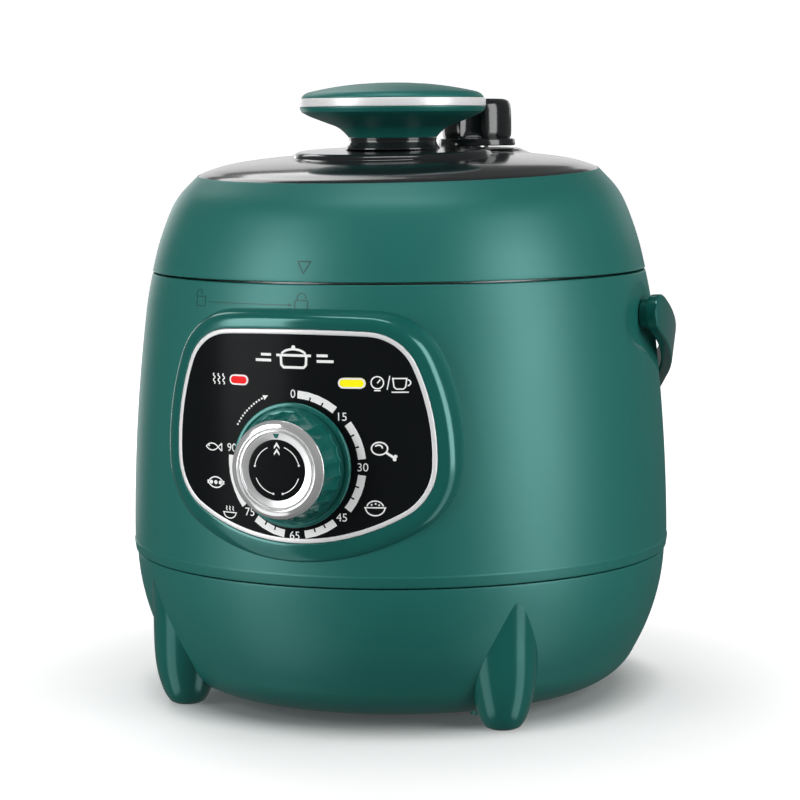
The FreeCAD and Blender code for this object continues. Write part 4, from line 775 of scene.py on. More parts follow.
def panel_outline():
    """The panel's outline as points in x and z, with their outward directions."""
    corners = [(-30.0, 158.8, -750.0, 40), (30.0, 158.8, -20.3, 20), (47.6, 145.5, -92.8, 26),
               (54.3, 107.5, -23.4, 20), (44.5, 89.3, -86.6, 56), (-44.5, 89.3, -23.4, 20),
               (-54.3, 107.5, -92.8, 26), (-47.6, 145.5, -20.3, 20)]
    points = []
    for (x0, z0, bow, count), following in zip(corners, corners[1:] + corners[:1]):
        points += arc((x0, z0), following[:2], bow, count)
    points = np.array(points)
    for _ in range(6):
        points = (np.roll(points, 1, 0) + 2 * points + np.roll(points, -1, 0)) / 4
    along = np.roll(points, -1, 0) - np.roll(points, 1, 0)
    outward = np.stack([-along[:, 1], along[:, 0]], 1)
    return points, outward / np.linalg.norm(outward, axis=1)[:, None]


def pill(x, reach, half):
    """A lamp's outline in x and z: two half circles of radius half, each reach away from x."""
    turns = np.radians(np.arange(0, 181, 15))
    right = [(x + reach + half * math.sin(t), LAMP_Z + half * math.cos(t)) for t in turns]
    return right + [(x - reach - half * math.sin(t), LAMP_Z - half * math.cos(t)) for t in turns]


def swept(rows):
    """Points and faces of closed rows round the panel, with a pole at each end of the list."""
    points, starts = [], []
    for row in rows:
        starts.append((len(points), len(row) > 1))
        points += [tuple(p) for p in row]
    steps = max(len(row) for row in rows)
    return points, ring_faces(starts, steps, len(rows[0]) > 1 and len(rows[-1]) > 1)


# ---------------------------------------------------------------- marks and prints
class Stencil:
    """Flat shapes of one mark, which are then laid on a surface and given a thickness."""

    def __init__(self):
        self.form = bmesh.new()
        self.at(0.0, 0.0)

    def at(self, x, y, scale=1.0):
        """Where the next shapes' origin lies, and their scale."""
        self.origin = np.array((x, y), float)
        self.scale = scale

    def polygon(self, points):
        flat = [self.origin + self.scale * np.array(p, float) for p in points]
        return self.form.faces.new([self.form.verts.new((*spot, 0.0)) for spot in flat])

    def stroke(self, points, width, closed=False):
        """A line of even width through points, with square ends."""
        line = np.array(points, float)
        if closed:
            line = np.vstack([line, line[:1]])
        fine = [line[:1]]
        for start, end in zip(line, line[1:]):
            count = max(1, math.ceil(np.linalg.norm(end - start) / 1.1))
            fine.append(start + (end - start) * (np.arange(1, count + 1) / count)[:, None])
        line = np.vstack(fine)
        along = np.gradient(line, axis=0)
        if closed:
            along[0] = along[-1] = line[1] - line[-2]
        side = np.stack([-along[:, 1], along[:, 0]], 1)
        side *= (width / 2) / np.linalg.norm(side, axis=1)[:, None]
        for i in range(len(line) - 1):
            here, there, left, right = line[i], line[i + 1], side[i], side[i + 1]
            self.polygon([here - left, there - right, there + right, here + left])

    def curve(self, x, y, radius, start, end, width, squash=1.0):
        """A line along an arc; angles are clockwise degrees from straight up."""
        turns = np.radians(np.linspace(start, end, max(3, int(abs(end - start) / 6))))
        self.stroke(np.stack([x + radius * np.sin(turns), y + radius * squash * np.cos(turns)], 1), width)

    def disc(self, x, y, radius, tall=1.0):
        self.polygon([(x + px, y + py * tall) for px, py in circle_points(0, 0, radius, 20)])

    def text(self, words, x, y, size):
        """Numbers centred at a point."""
        curve = bpy.data.curves.new("Digits", "FONT")
        curve.body = words
        curve.size = size
        curve.align_x, curve.align_y = "CENTER", "CENTER"
        holder = bpy.data.objects.new("Digits", curve)
        bpy.context.scene.collection.objects.link(holder)
        bpy.context.view_layer.update()
        flat = bpy.data.meshes.new_from_object(holder.evaluated_get(bpy.context.evaluated_depsgraph_get()))
        outline = np.array([v.co for v in flat.vertices])
        shift = np.array((x, y, 0.0)) - (outline.min(0) + outline.max(0)) / 2
        spots = [self.form.verts.new(place) for place in outline + shift]
        for face in flat.polygons:
            self.form.faces.new([spots[i] for i in face.vertices])
        bpy.data.objects.remove(holder)

    def lay(self, name, surface, thick):
        """The shapes as a thin solid on a surface: surface(u, v) gives points and outward directions."""
        bmesh.ops.remove_doubles(self.form, verts=self.form.verts, dist=1e-5)
        bmesh.ops.recalc_face_normals(self.form, faces=self.form.faces)
        for face in self.form.faces:
            if face.normal.z < 0:
                face.normal_flip()
        front = bmesh.ops.extrude_face_region(self.form, geom=list(self.form.faces), use_keep_orig=True)
        for vertex in (v for v in front["geom"] if isinstance(v, bmesh.types.BMVert)):
            vertex.co.z = 1.0
        flat = np.array([v.co for v in self.form.verts])
        spots, outward = surface(flat[:, 0], flat[:, 1])
        laid = spots + outward * (flat[:, 2:] * thick - (1 - flat[:, 2:]) * 0.02)
        for vertex, place in zip(self.form.verts, laid * MM):
            vertex.co = place
        bmesh.ops.recalc_face_normals(self.form, faces=self.form.faces)
        mesh = bpy.data.meshes.new(name)
        self.form.to_mesh(mesh)
        self.form.free()
        thing = bpy.data.objects.new(name, mesh)
        bpy.context.scene.collection.objects.link(thing)
        return thing


def on_panel(u, v):
    """The panel sheet's face; u is x and v is z."""
    curve = bpy.context.scene.cooker.panel.curve / MM
    outward = np.stack([u, -np.sqrt(curve ** 2 - u * u), 0 * u], 1) / curve
    return np.stack([u, face_y(u, 0.1), v], 1), outward


def on_barrel(u, v):
    """The shell; u is the distance round the front from the middle and v the height."""
    radius, girth = barrel_radius(v), 105.0
    turn = u / girth
    outward = np.stack([np.sin(turn), -np.cos(turn), 0.1 + 0 * u], 1)
    return np.stack([radius * np.sin(turn), -radius * np.cos(turn), v], 1), outward


# ---------------------------------------------------------------- node-built repeats
def new_tree(name, inputs):
    """A geometry tree with named inputs; gives the tree, its input node and its output node."""
    tree = bpy.data.node_groups.new(name, "GeometryNodeTree")
    tree.interface.new_socket("Geometry", in_out="INPUT", socket_type="NodeSocketGeometry")
    for label, kind in inputs:
        tree.interface.new_socket(label, in_out="INPUT", socket_type=kind)
    tree.interface.new_socket("Geometry", in_out="OUTPUT", socket_type="NodeSocketGeometry")
    return tree, tree.nodes.new("NodeGroupInput"), tree.nodes.new("NodeGroupOutput")


def run_tree(thing, tree, values):
    """Run a tree on a thing with its inputs set, and keep the result as the thing's mesh."""
    modifier = thing.modifiers.new(tree.name, "NODES")
    modifier.node_group = tree
    for item in tree.interface.items_tree:
        if item.in_out == "INPUT" and item.name in values:
            modifier[item.identifier] = values[item.name]
    return evaluated(thing)


def repeat_tree():
    """Copies of a mesh turned about the y axis at even angles, joined where they meet."""
    tree, given, result = new_tree("RepeatRoundY", [
        ("Count", "NodeSocketInt"), ("Material", "NodeSocketMaterial")])
    points = tree.nodes.new("GeometryNodePoints")
    index = tree.nodes.new("GeometryNodeInputIndex")
    step, turn = tree.nodes.new("ShaderNodeMath"), tree.nodes.new("ShaderNodeMath")
    step.operation, turn.operation = "DIVIDE", "MULTIPLY"
    step.inputs[0].default_value = 2 * math.pi
    angles = tree.nodes.new("ShaderNodeCombineXYZ")
    copies = tree.nodes.new("GeometryNodeInstanceOnPoints")
    real = tree.nodes.new("GeometryNodeRealizeInstances")
    weld = tree.nodes.new("GeometryNodeMergeByDistance")
    weld.inputs["Distance"].default_value = 2e-6
    paint = tree.nodes.new("GeometryNodeSetMaterial")
    link = tree.links.new
    link(given.outputs["Count"], points.inputs["Count"])
    link(given.outputs["Count"], step.inputs[1])
    link(step.outputs[0], turn.inputs[0])
    link(index.outputs[0], turn.inputs[1])
    link(turn.outputs[0], angles.inputs["Y"])
    link(points.outputs[0], copies.inputs["Points"])
    link(given.outputs["Geometry"], copies.inputs["Instance"])
    link(angles.outputs[0], copies.inputs["Rotation"])
    link(copies.outputs[0], real.inputs[0])
    link(real.outputs[0], weld.inputs["Geometry"])
    link(weld.outputs[0], paint.inputs["Geometry"])
    link(given.outputs["Material"], paint.inputs["Material"])
    link(paint.outputs[0], result.inputs[0])
    return tree


def dots_tree():
    """Round dots at even steps along an arc in the xy plane."""
    tree, given, result = new_tree("DotsOnArc", [
        ("Count", "NodeSocketInt"), ("Radius", "NodeSocketFloat"), ("Start", "NodeSocketFloat"),
        ("Sweep", "NodeSocketFloat"), ("Dot", "NodeSocketFloat"), ("Material", "NodeSocketMaterial")])
    path = tree.nodes.new("GeometryNodeCurveArc")
    path.mode = "RADIUS"
    stations = tree.nodes.new("GeometryNodeCurveToPoints")
    stations.mode = "COUNT"
    dot = tree.nodes.new("GeometryNodeMeshCircle")
    dot.fill_type = "NGON"
    dot.inputs["Vertices"].default_value = 12
    copies = tree.nodes.new("GeometryNodeInstanceOnPoints")
    real = tree.nodes.new("GeometryNodeRealizeInstances")
    paint = tree.nodes.new("GeometryNodeSetMaterial")
    link = tree.links.new
    link(given.outputs["Radius"], path.inputs["Radius"])
    link(given.outputs["Start"], path.inputs["Start Angle"])
    link(given.outputs["Sweep"], path.inputs["Sweep Angle"])
    link(path.outputs["Curve"], stations.inputs["Curve"])
    link(given.outputs["Count"], stations.inputs["Count"])
    link(given.outputs["Dot"], dot.inputs["Radius"])
    link(stations.outputs["Points"], copies.inputs["Points"])
    link(dot.outputs["Mesh"], copies.inputs["Instance"])
    link(copies.outputs[0], real.inputs[0])
    link(real.outputs[0], paint.inputs["Geometry"])
    link(given.outputs["Material"], paint.inputs["Material"])
    link(paint.outputs[0], result.inputs[0])
    return tree


# ---------------------------------------------------------------- body, bowl and legs
class COOKER_OT_shell(bpy.types.Operator):
    """Build the barrel-shaped shell with its mouth, ledge and handle recesses"""

    bl_idname = "cooker.shell"
    bl_label = "Body shell"

    def execute(self, context):
        s = context.scene.cooker.body
        waist, step = s.waist / MM, s.waist_height / MM
        shoulder, mouth = (s.shoulder / MM, s.shoulder_height / MM), (s.mouth / MM, SHELL_TOP)
        outside = arc((waist - 0.3, step + 1.0), shoulder, s.barrel_bow / MM, 96)
        outside += arc(shoulder, mouth, s.shoulder_bow / MM, 12)
        inside = [(99.6, SHELL_TOP, 0.4), (99.6, 171.0, 0.3), (101.7, 171.0), (102.9, shoulder[1]),
                  (103.3, 157.8), (96.0, 157.8, 0.3), (96.0, 155.3, 0.3), (103.4, 155.3), (107.0, 135.0),
                  (109.4, 100.0), (110.0, step)]
        profile = rounded(
            [(109.4, SHELL_FOOT), (112.4, SHELL_FOOT, 0.5), (waist, step - 0.2, 0.2),
             (waist - 0.3, step + 0.4, 0.2)] + outside + [(*mouth, 0.6)] + inside)
        points, faces = turned(profile, 360)
        self.press_in(points, s)
        shell = fresh("shell_skin", points, faces)
        outline, outward = panel_outline()
        opening = prism("PanelHole", (outline + outward * 1.8).tolist(), -125.0, -84.0)
        seat = prism("InletSeat", rounded(self.inlet(16.0, 12.5, 1.5)), 110.8, 122.0)
        hole = prism("InletHole", self.inlet(13.8, 9.9), 100.0, 120.0)
        carve(shell, opening, seat, hole)
        settle(shell, "body", "green_satin", "body_shell", crease=28.0, slot="green_satin")
        return {"FINISHED"}

    def inlet(self, half, tall, *radius):
        """A rectangle round the mains inlet's middle, with a corner radius where one is given."""
        corners = ((-half, -tall), (half, -tall), (half, tall), (-half, tall))
        return [(x, INLET_Z + z, *radius) for x, z in corners]

    def press_in(self, points, s):
        """Press the flat recess behind each handle arm into the wall, with a soft edge."""
        rest = bpy.context.scene.cooker.handle.rest
        floor, half, soft = s.recess / MM, s.recess_half / MM, s.recess_soft / MM
        height = points[:, 2] - PIVOT_Z
        behind = points[:, 1] - PIVOT_Y
        along = behind * math.cos(rest) - height * math.sin(rest)
        across = behind * math.sin(rest) + height * math.cos(rest)
        past = along - np.clip(along, 0.0, 46.0)
        away = np.minimum(np.hypot(past, across), np.hypot(behind * 0.55, height)) - half
        depth = 1.0 - ease((away + 1.0) / soft)
        reach = np.abs(points[:, 0])
        outer = np.hypot(points[:, 0], points[:, 1]) > 103.5
        pressed = reach - np.maximum(0.0, reach - floor) * depth
        points[:, 0] = np.where(outer, np.sign(points[:, 0]) * pressed, points[:, 0])


class COOKER_OT_bowl(bpy.types.Operator):
    """Build the round bowl under the shell, with the lip that plugs into it"""

    bl_idname = "cooker.bowl"
    bl_label = "Base bowl"

    def execute(self, context):
        top = SHELL_FOOT - SEAM
        profile = rounded(
            [(70.0, BOWL_FLAT, 0.3)] + bowl_profile()[:-1]
            + [(BOWL_RIM, top, 0.4), (109.3, top), (109.3, top + 6.0, 0.4), (106.8, top + 6.0, 0.4),
               (106.8, top), (104.8, 34.0), (98.0, 19.0), (90.0, 9.5), (78.0, 6.0), (70.0, 6.0)])
        bowl = fresh("bowl_skin", *turned(profile, 288))
        settle(bowl, "body", "green_satin", "base_bowl", crease=28.0, slot="green_satin")
        return {"FINISHED"}


class COOKER_OT_legs(bpy.types.Operator):
    """Build the four legs: columns that widen upwards and end in a leaf shape on the bowl"""

    bl_idname = "cooker.legs"
    bl_label = "Legs"

    def execute(self, context):
        s = context.scene.cooker.body
        ring, foot = s.leg_ring / MM, s.leg_foot / MM
        low, high = corner("leg_front_left", 0, "z"), 57.0
        levels = (0.6, 5, 12, 25, 38, high)
        centre = spline(levels, [ring + x for x in (0.0, 0.1, 0.2, -0.8, -1.3, -0.7)])
        radius = spline(levels, [foot + x for x in (0.0, 1.8, 3.9, 6.3, 6.9, 7.1)])
        steps = 72
        turns = np.arange(steps) * (2 * math.pi / steps)
        ends = self.meet_bowl(turns, np.arange(low, high, 0.15), centre, radius)
        points, rows = [(ring, 0.0, low)], [(0, False)]
        for grow, lift in ((0.0, 0.0), (0.55, 0.0), (0.99, 0.35)):
            rows.append((len(points), True))
            sole = foot - 1.6 + grow
            points += [(ring + sole * math.cos(a), sole * math.sin(a), low + lift) for a in turns]
        for t in np.linspace(0.0, 1.0, 46):
            rows.append((len(points), True))
            z = low + 1.3 + (ends - low - 1.3) * t
            z = np.maximum(z, low + 1.3 * (0.6 + 0.4 * t))
            round_foot = 0.6 * np.exp(-(z - low - 1.0) / 1.4)
            reach = radius(z) - round_foot
            points += list(zip(centre(z) + reach * np.cos(turns), reach * np.sin(turns), z))
        rim = np.array(points[-steps:])
        inwards = rim * (1 - 0.9 / np.hypot(rim[:, 0], rim[:, 1]))[:, None]
        inwards[:, 2] = rim[:, 2]
        rows += [(len(points), True), (len(points) + steps, False)]
        points += inwards.tolist() + [tuple(inwards.mean(0) - (1.5, 0.0, 0.0))]
        points = np.array(points)
        faces = ring_faces(rows, steps, False)
        sides = {"front_right": -45, "rear_right": 45, "rear_left": 135, "front_left": -135}
        for side, degrees in sides.items():
            turn = np.array(Matrix.Rotation(math.radians(degrees), 3, "Z"))
            leg = fresh(f"leg_{side}_skin", points @ turn.T, faces)
            settle(leg, "body", "green_gloss", f"leg_{side}", crease=40.0, slot="green_gloss")
        return {"FINISHED"}

    def meet_bowl(self, turns, heights, centre, radius):
        """For each direction round a leg, the height at which its side enters the bowl."""
        ends = []
        for a in turns:
            x = centre(heights) + radius(heights) * math.cos(a)
            y = radius(heights) * math.sin(a)
            sunk = np.hypot(x, y) < bowl_radius(heights) + 0.02
            ends.append(heights[np.argmax(sunk)] if sunk.any() else heights[-1])
        return np.array(ends)


# ---------------------------------------------------------------- lid, knob and valve
def crown_place(points, tilt):
    """Points in the crown's leaning frame, moved to where the crown is."""
    points = np.asarray(points, float)
    y, h = points[:, 1].copy(), points[:, 2].copy()
    return np.stack([points[:, 0], y * math.cos(tilt) - h * math.sin(tilt),
                     CROWN + y * math.sin(tilt) + h * math.cos(tilt)], 1)


class COOKER_OT_lid(bpy.types.Operator):
    """Build the green lid: rings that lean more and more to the front"""

    bl_idname = "cooker.lid"
    bl_label = "Lid shell"

    def execute(self, context):
        s = context.scene.cooker.lid
        foot, crown, wall = s.foot / MM, s.crown / MM + 0.2, s.wall / MM
        heights = (LID_FOOT, 187.5, 198.0, 208.0, 214.0, CROWN - 0.1)
        along = (0.0, 11.3, 22.3, 33.2, 41.6, 46.4)
        radius = spline(along, (foot, 100.75, 97.2, 92.4, 87.2, crown))
        height = spline(along, heights)
        lean = spline(along, tuple(s.tilt * x for x in (0.0, 0.16, 0.41, 0.7, 0.9, 1.0)))
        outside = [(float(radius(t)), float(height(t)), float(lean(t))) for t in np.linspace(0.0, 46.4, 56)]
        first, last = outside[0], outside[-1]
        profile = [(foot - wall, first[1] + 0.15, 0.0), (foot - wall + 0.3, first[1], 0.0),
                   (foot - 0.5, first[1], 0.0), (foot - 0.15, first[1] + 0.12, 0.0)]
        profile += [(r, z + 0.4 if i == 0 else z, t) for i, (r, z, t) in enumerate(outside[:-1])]
        profile += [(last[0] + 0.18, last[1] - 0.2, last[2]), (last[0] - 0.1, last[1], last[2]),
                    (last[0] - 0.25, last[1] - 0.3, last[2])]
        inner = [(r - wall, z - 0.8, t) for r, z, t in outside[::-3]]
        inner[0] = (last[0] - wall + 1.4, last[1] - 1.6, last[2])
        profile += inner[:-1]
        lid = fresh("lid_skin", *turned(profile, 288))
        settle(lid, "lid", "green_satin", "lid_shell", crease=30.0, slot="green_satin")
        return {"FINISHED"}


class COOKER_OT_cover(bpy.types.Operator):
    """Build the black cover with its stands for the knob and the valve"""

    bl_idname = "cooker.cover"
    bl_label = "Lid cover"

    def execute(self, context):
        s = context.scene.cooker.lid
        rim = s.crown / MM
        dome = spline((0, 20, 41, 46, 59, 68, 73, 77, 80, 82.4, rim),
                      (7.4, 7.2, 6.7, 6.4, 5.4, 4.3, 3.45, 2.45, 1.45, 0.55, -0.25))
        bore, edge, step = 12.6, 41.6, 6.75
        stand = spline((0, 24, 37.4, 39.6, 40.7, 41.3, edge), (9.5, 9.3, 9.05, 8.8, 8.1, 7.3, step))
        post = spline((0, 16.5, 18.6, 21.0, 23.5, 26.0), (step, step, 6.5, 5.4, 4.2, 2.0))
        steps = 360
        turns = np.arange(steps) * (2 * math.pi / steps)
        points, rows = [], []
        for d in np.r_[bore, np.linspace(13.5, 37.0, 8), np.linspace(38.0, edge, 19)]:
            x, y = d * np.cos(turns), KNOB_Y + d * np.sin(turns)
            rows.append((len(points), True))
            points += list(zip(x, y, self.raised(x, y, np.full(steps, float(stand(d))), post)))
        for t in np.r_[np.linspace(0.02, 0.84, 44), np.linspace(0.86, 1.0, 14)]:
            radius = edge + (rim - edge) * t
            x, y = radius * np.cos(turns), KNOB_Y * (1 - t) + radius * np.sin(turns)
            rows.append((len(points), True))
            crest = dome(np.hypot(x, y))
            height = crest + (step - crest) * np.exp(-t * 90.0)
            points += list(zip(x, y, self.raised(x, y, height, post)))
        for inset, drop in ((0.0, -1.0), (0.3, -1.2), (2.2, -1.2), (3.0, -3.6), (5.0, -3.6)):
            rows.append((len(points), True))
            radius = rim - inset
            points += [(radius * math.cos(a), radius * math.sin(a), drop) for a in turns]
        for t in (0.85, 0.6, 0.3, 0.0):
            radius = bore + (rim - 5.0 - bore) * t
            x, y = radius * np.cos(turns), KNOB_Y * (1 - t) + radius * np.sin(turns)
            rows.append((len(points), True))
            points += list(zip(x, y, dome(np.hypot(x, y)) - s.wall / MM))
        cover = fresh("lid_cover_skin", crown_place(points, s.tilt), ring_faces(rows, steps, True))
        low, high = CROWN - 8.0, CROWN + 14.0
        float_hole = prism("FloatHole", circle_points(FLOAT_X, FLOAT_Y, 3.6), low, high, "z")
        stem_hole = prism("StemHole", circle_points(VALVE_X, VALVE_Y, 5.3), low, high, "z")
        carve(cover, float_hole, stem_hole)
        settle(cover, "lid", "black_gloss", "lid_cover", crease=35.0, slot="black_gloss")
        return {"FINISHED"}

    def raised(self, x, y, height, post):
        """The dome's height with the valve's stand blended on."""
        away = np.hypot(x - VALVE_X, y - VALVE_Y)
        stand = post(away) - np.where(away > 26.0, 20.0, 0.0)
        sharp, rise = 2.2, 0.8
        top = np.maximum(height, stand)
        return top + np.log(np.exp(sharp * (height - top)) + np.exp(sharp * (stand - top))) / sharp * rise


class COOKER_OT_knob(bpy.types.Operator):
    """Build the mushroom knob: black neck, green underside, bright band and domed cap"""

    bl_idname = "cooker.knob"
    bl_label = "Lid knob"

    def execute(self, context):
        knob = context.scene.cooker.lid.knob / MM
        top = corner("knob_cap", 1, "z")
        along = (0, 2.2, 4.8, 7.4, 11.8, 16.4, 20.7, 24.3)
        flare = spline(along, (231.3, 232.3, 234.0, 235.5, 237.1, 238.7, 240.3, 241.9))
        reach = spline(along, (18.4, 19.2, 20.9, 22.9, 26.8, 31.0, 35.0, 37.9))
        under = [(float(reach(t)), float(flare(t))) for t in np.linspace(0, along[-1], 40)]
        pieces = (
            ("knob_neck", "black_gloss", [
                (3.0, 226.2), (19.7, 226.2, 0.3), (19.7, 226.9, 0.4), (18.9, 228.0, 1.2), (18.1, 229.6, 1.5),
                (18.4, 231.2, 0.2), (3.0, 231.2)]),
            ("knob_base", "green_satin", [(2.5, 231.3)] + under + [
                (knob - 0.2, BAND_FOOT - 0.5, 0.8), (knob - 0.2, BAND_FOOT, 0.1), (knob - 6, BAND_FOOT),
                (knob - 6, BAND_FOOT - 1.4), (7.5, 235.6), (7.5, BAND_FOOT), (2.5, BAND_FOOT)]),
            ("knob_band", "silver_rim", [
                (knob - 5, BAND_FOOT + 0.1), (knob, BAND_FOOT + 0.1, 0.45), (knob, BAND_TOP, 0.45),
                (knob - 5, BAND_TOP)]),
            ("knob_cap", "green_satin", [
                (8.0, 247.2), (8.0, 242.6), (knob - 6.4, 242.6), (knob - 6.4, BAND_TOP + 0.1),
                (knob - 0.9, BAND_TOP + 0.1, 0.3)] + arc((knob - 0.9, BAND_TOP + 0.5), (34.8, 250.2), 5.2, 10)
                + arc((34.8, 250.2), (13.7, top - 0.5), 140.0, 18)
                + [(13.7, top - 0.5, 0.25), (13.4, top - 0.95, 0.2), (12.8, top - 0.95, 0.2),
                   (12.5, top - 0.45, 0.3), (7.0, top - 0.12), (3.0, top - 0.02), (0.0, top), (0.0, 247.2)]))
        slots = {"silver_rim": "bright", "green_satin": "green_gloss"}
        for name, look, profile in pieces:
            closed = name != "knob_cap"
            shape = turned(rounded(profile, closed), 240, (0.0, KNOB_Y))
            piece = fresh(name + "_skin", *shape)
            settle(piece, "lid", look, name, crease=30.0, slot=slots.get(look, look))
        return {"FINISHED"}


class COOKER_OT_valve(bpy.types.Operator):
    """Build the lobed cap of the exhaust valve"""

    bl_idname = "cooker.valve"
    bl_label = "Exhaust valve"

    def execute(self, context):
        s = context.scene.cooker.lid
        low, top = corner("valve_cap", 0, "z"), corner("valve_cap", 1, "z")
        collar, cap = corner("valve_cap", 1, "x") - VALVE_X, s.valve / MM
        steps = 240
        turns = np.arange(steps) * (2 * math.pi / steps)
        period = 2 * math.pi / s.valve_lobes
        swing = (turns - s.valve_turn + period / 2) % period - period / 2
        out = cap + 3.6
        reach = np.maximum(7.0 ** 2 - (out * np.sin(swing)) ** 2, 0.0)
        groove = np.maximum(0.0, cap - (out * np.cos(swing) - np.sqrt(reach))) * (reach > 0)
        profile = [(5.3, low, 0), (collar - 0.4, low, 0), (collar, low + 0.4, 0), (collar, low + 2.4, 0),
                   (collar - 0.3, low + 2.9, 0), (collar - 1.2, low + 3.2, 0), (cap - 0.6, low + 3.5, 0.3),
                   (cap - 0.1, low + 4.4, 0.8), (cap, low + 6.5, 1.0), (cap, low + 10.0, 1.0),
                   (cap - 0.1, top - 4.5, 1.0), (cap - 0.35, top - 2.4, 1.0), (cap - 1.1, top - 1.1, 1.0),
                   (cap - 2.3, top - 0.3, 0.9), (cap - 3.8, top, 0.7), (cap - 8.0, top, 0.2), (0.0, top, 0),
                   (0.0, top - 7.7, 0), (5.3, top - 7.7, 0)]
        points, rows = [], []
        for radius, height, depth in profile:
            rows.append((len(points), radius > 1e-6))
            if radius < 1e-6:
                points.append((VALVE_X, VALVE_Y, height))
                continue
            away = radius - depth * groove
            x, y = VALVE_X + away * np.cos(turns), VALVE_Y + away * np.sin(turns)
            points += list(zip(x, y, [height] * steps))
        faces = ring_faces(rows[:17], steps, False) + ring_faces(rows[17:], steps, False)
        faces += [(rows[-1][0] + k, rows[-1][0] + (k + 1) % steps, (k + 1) % steps, k) for k in range(steps)]
        piece = fresh("valve_cap_skin", points, faces)
        settle(piece, "exhaust_valve", "black_gloss", "valve_cap", crease=40.0, slot="black_gloss")
        return {"FINISHED"}


# ---------------------------------------------------------------- control panel and timer
class COOKER_OT_bezel(bpy.types.Operator):
    """Build the smooth raised frame round the panel and the bright rim inside it"""

    bl_idname = "cooker.bezel"
    bl_label = "Bezel and rim"

    def execute(self, context):
        s = context.scene.cooker.panel
        land, foot, rim = s.land / MM, s.foot / MM, s.rim / MM
        outline, outward = panel_outline()

        def shell_y(spots):
            return -np.sqrt(barrel_radius(spots[:, 1]) ** 2 - spots[:, 0] ** 2)

        def row(margin, rise, behind=0.0):
            """A row at a margin; rise 1 is on the panel's face and 0 on the shell."""
            spots = outline + outward * margin
            near, far = face_y(spots[:, 0]), shell_y(spots) + 0.25
            y = far + (near - far) * rise + behind
            return np.stack([spots[:, 0], y, spots[:, 1]], 1)

        rows = [row(0.1, 1.0, 4.4), row(0.1, 1.0, 0.35), row(0.25, 1.0, 0.08), row(0.6, 1.0, 0.0)]
        rows += [row(land * t, 1.0, 0.0) for t in (0.6, 0.9)]
        for t in np.sin(np.linspace(0.0, math.pi / 2, 16)):
            rows.append(row(land + (foot - land) * t, max(0.0, 1.0 - t ** 2.3) ** (1 / 2.1)))
        rows += [row(foot - 0.2, 0.0, 0.6), row(1.6, 0.0, 0.6), row(1.6, 1.0, 4.4)]
        points, faces = swept([list(r) for r in rows])
        frame_piece = fresh("bezel_skin", points, faces)
        settle(frame_piece, "body", "green_gloss", "panel_bezel", crease=50.0, slot="green_gloss")

        def rim_row(margin, lift):
            spots = outline + outward * margin
            return np.stack([spots[:, 0], face_y(spots[:, 0]) - lift, spots[:, 1]], 1)

        section = [(-0.02, -1.8), (-0.02, -0.25), (-0.2, -0.05), (-0.5, 0.0), (-rim + 0.5, 0.0),
                   (-rim + 0.2, -0.05), (-rim, -0.2), (-rim, -1.8)]
        points, faces = swept([list(rim_row(m, lift)) for m, lift in section])
        rim_piece = fresh("panel_rim_skin", points, faces)
        settle(rim_piece, "body", "silver_rim", "panel_rim", crease=50.0, slot="bright")
        carrier = [list(row(0.05, 1.0, 2.1))] + [
            list(np.stack([outline[:, 0] * k, face_y(outline[:, 0] * k) + 2.1,
                           DIAL_Z + (outline[:, 1] - DIAL_Z) * k], 1)) for k in (0.7, 0.4)]
        carrier.append([(0.0, float(face_y(0.0)) + 2.1, DIAL_Z)])
        back = [[(x, y + 2.3, z) for x, y, z in ring] for ring in carrier][::-1]
        plate = fresh("panel_carrier", *swept(back + carrier))
        settle(plate, "body", "green_satin", crease=50.0, slot="green_gloss")
        return {"FINISHED"}


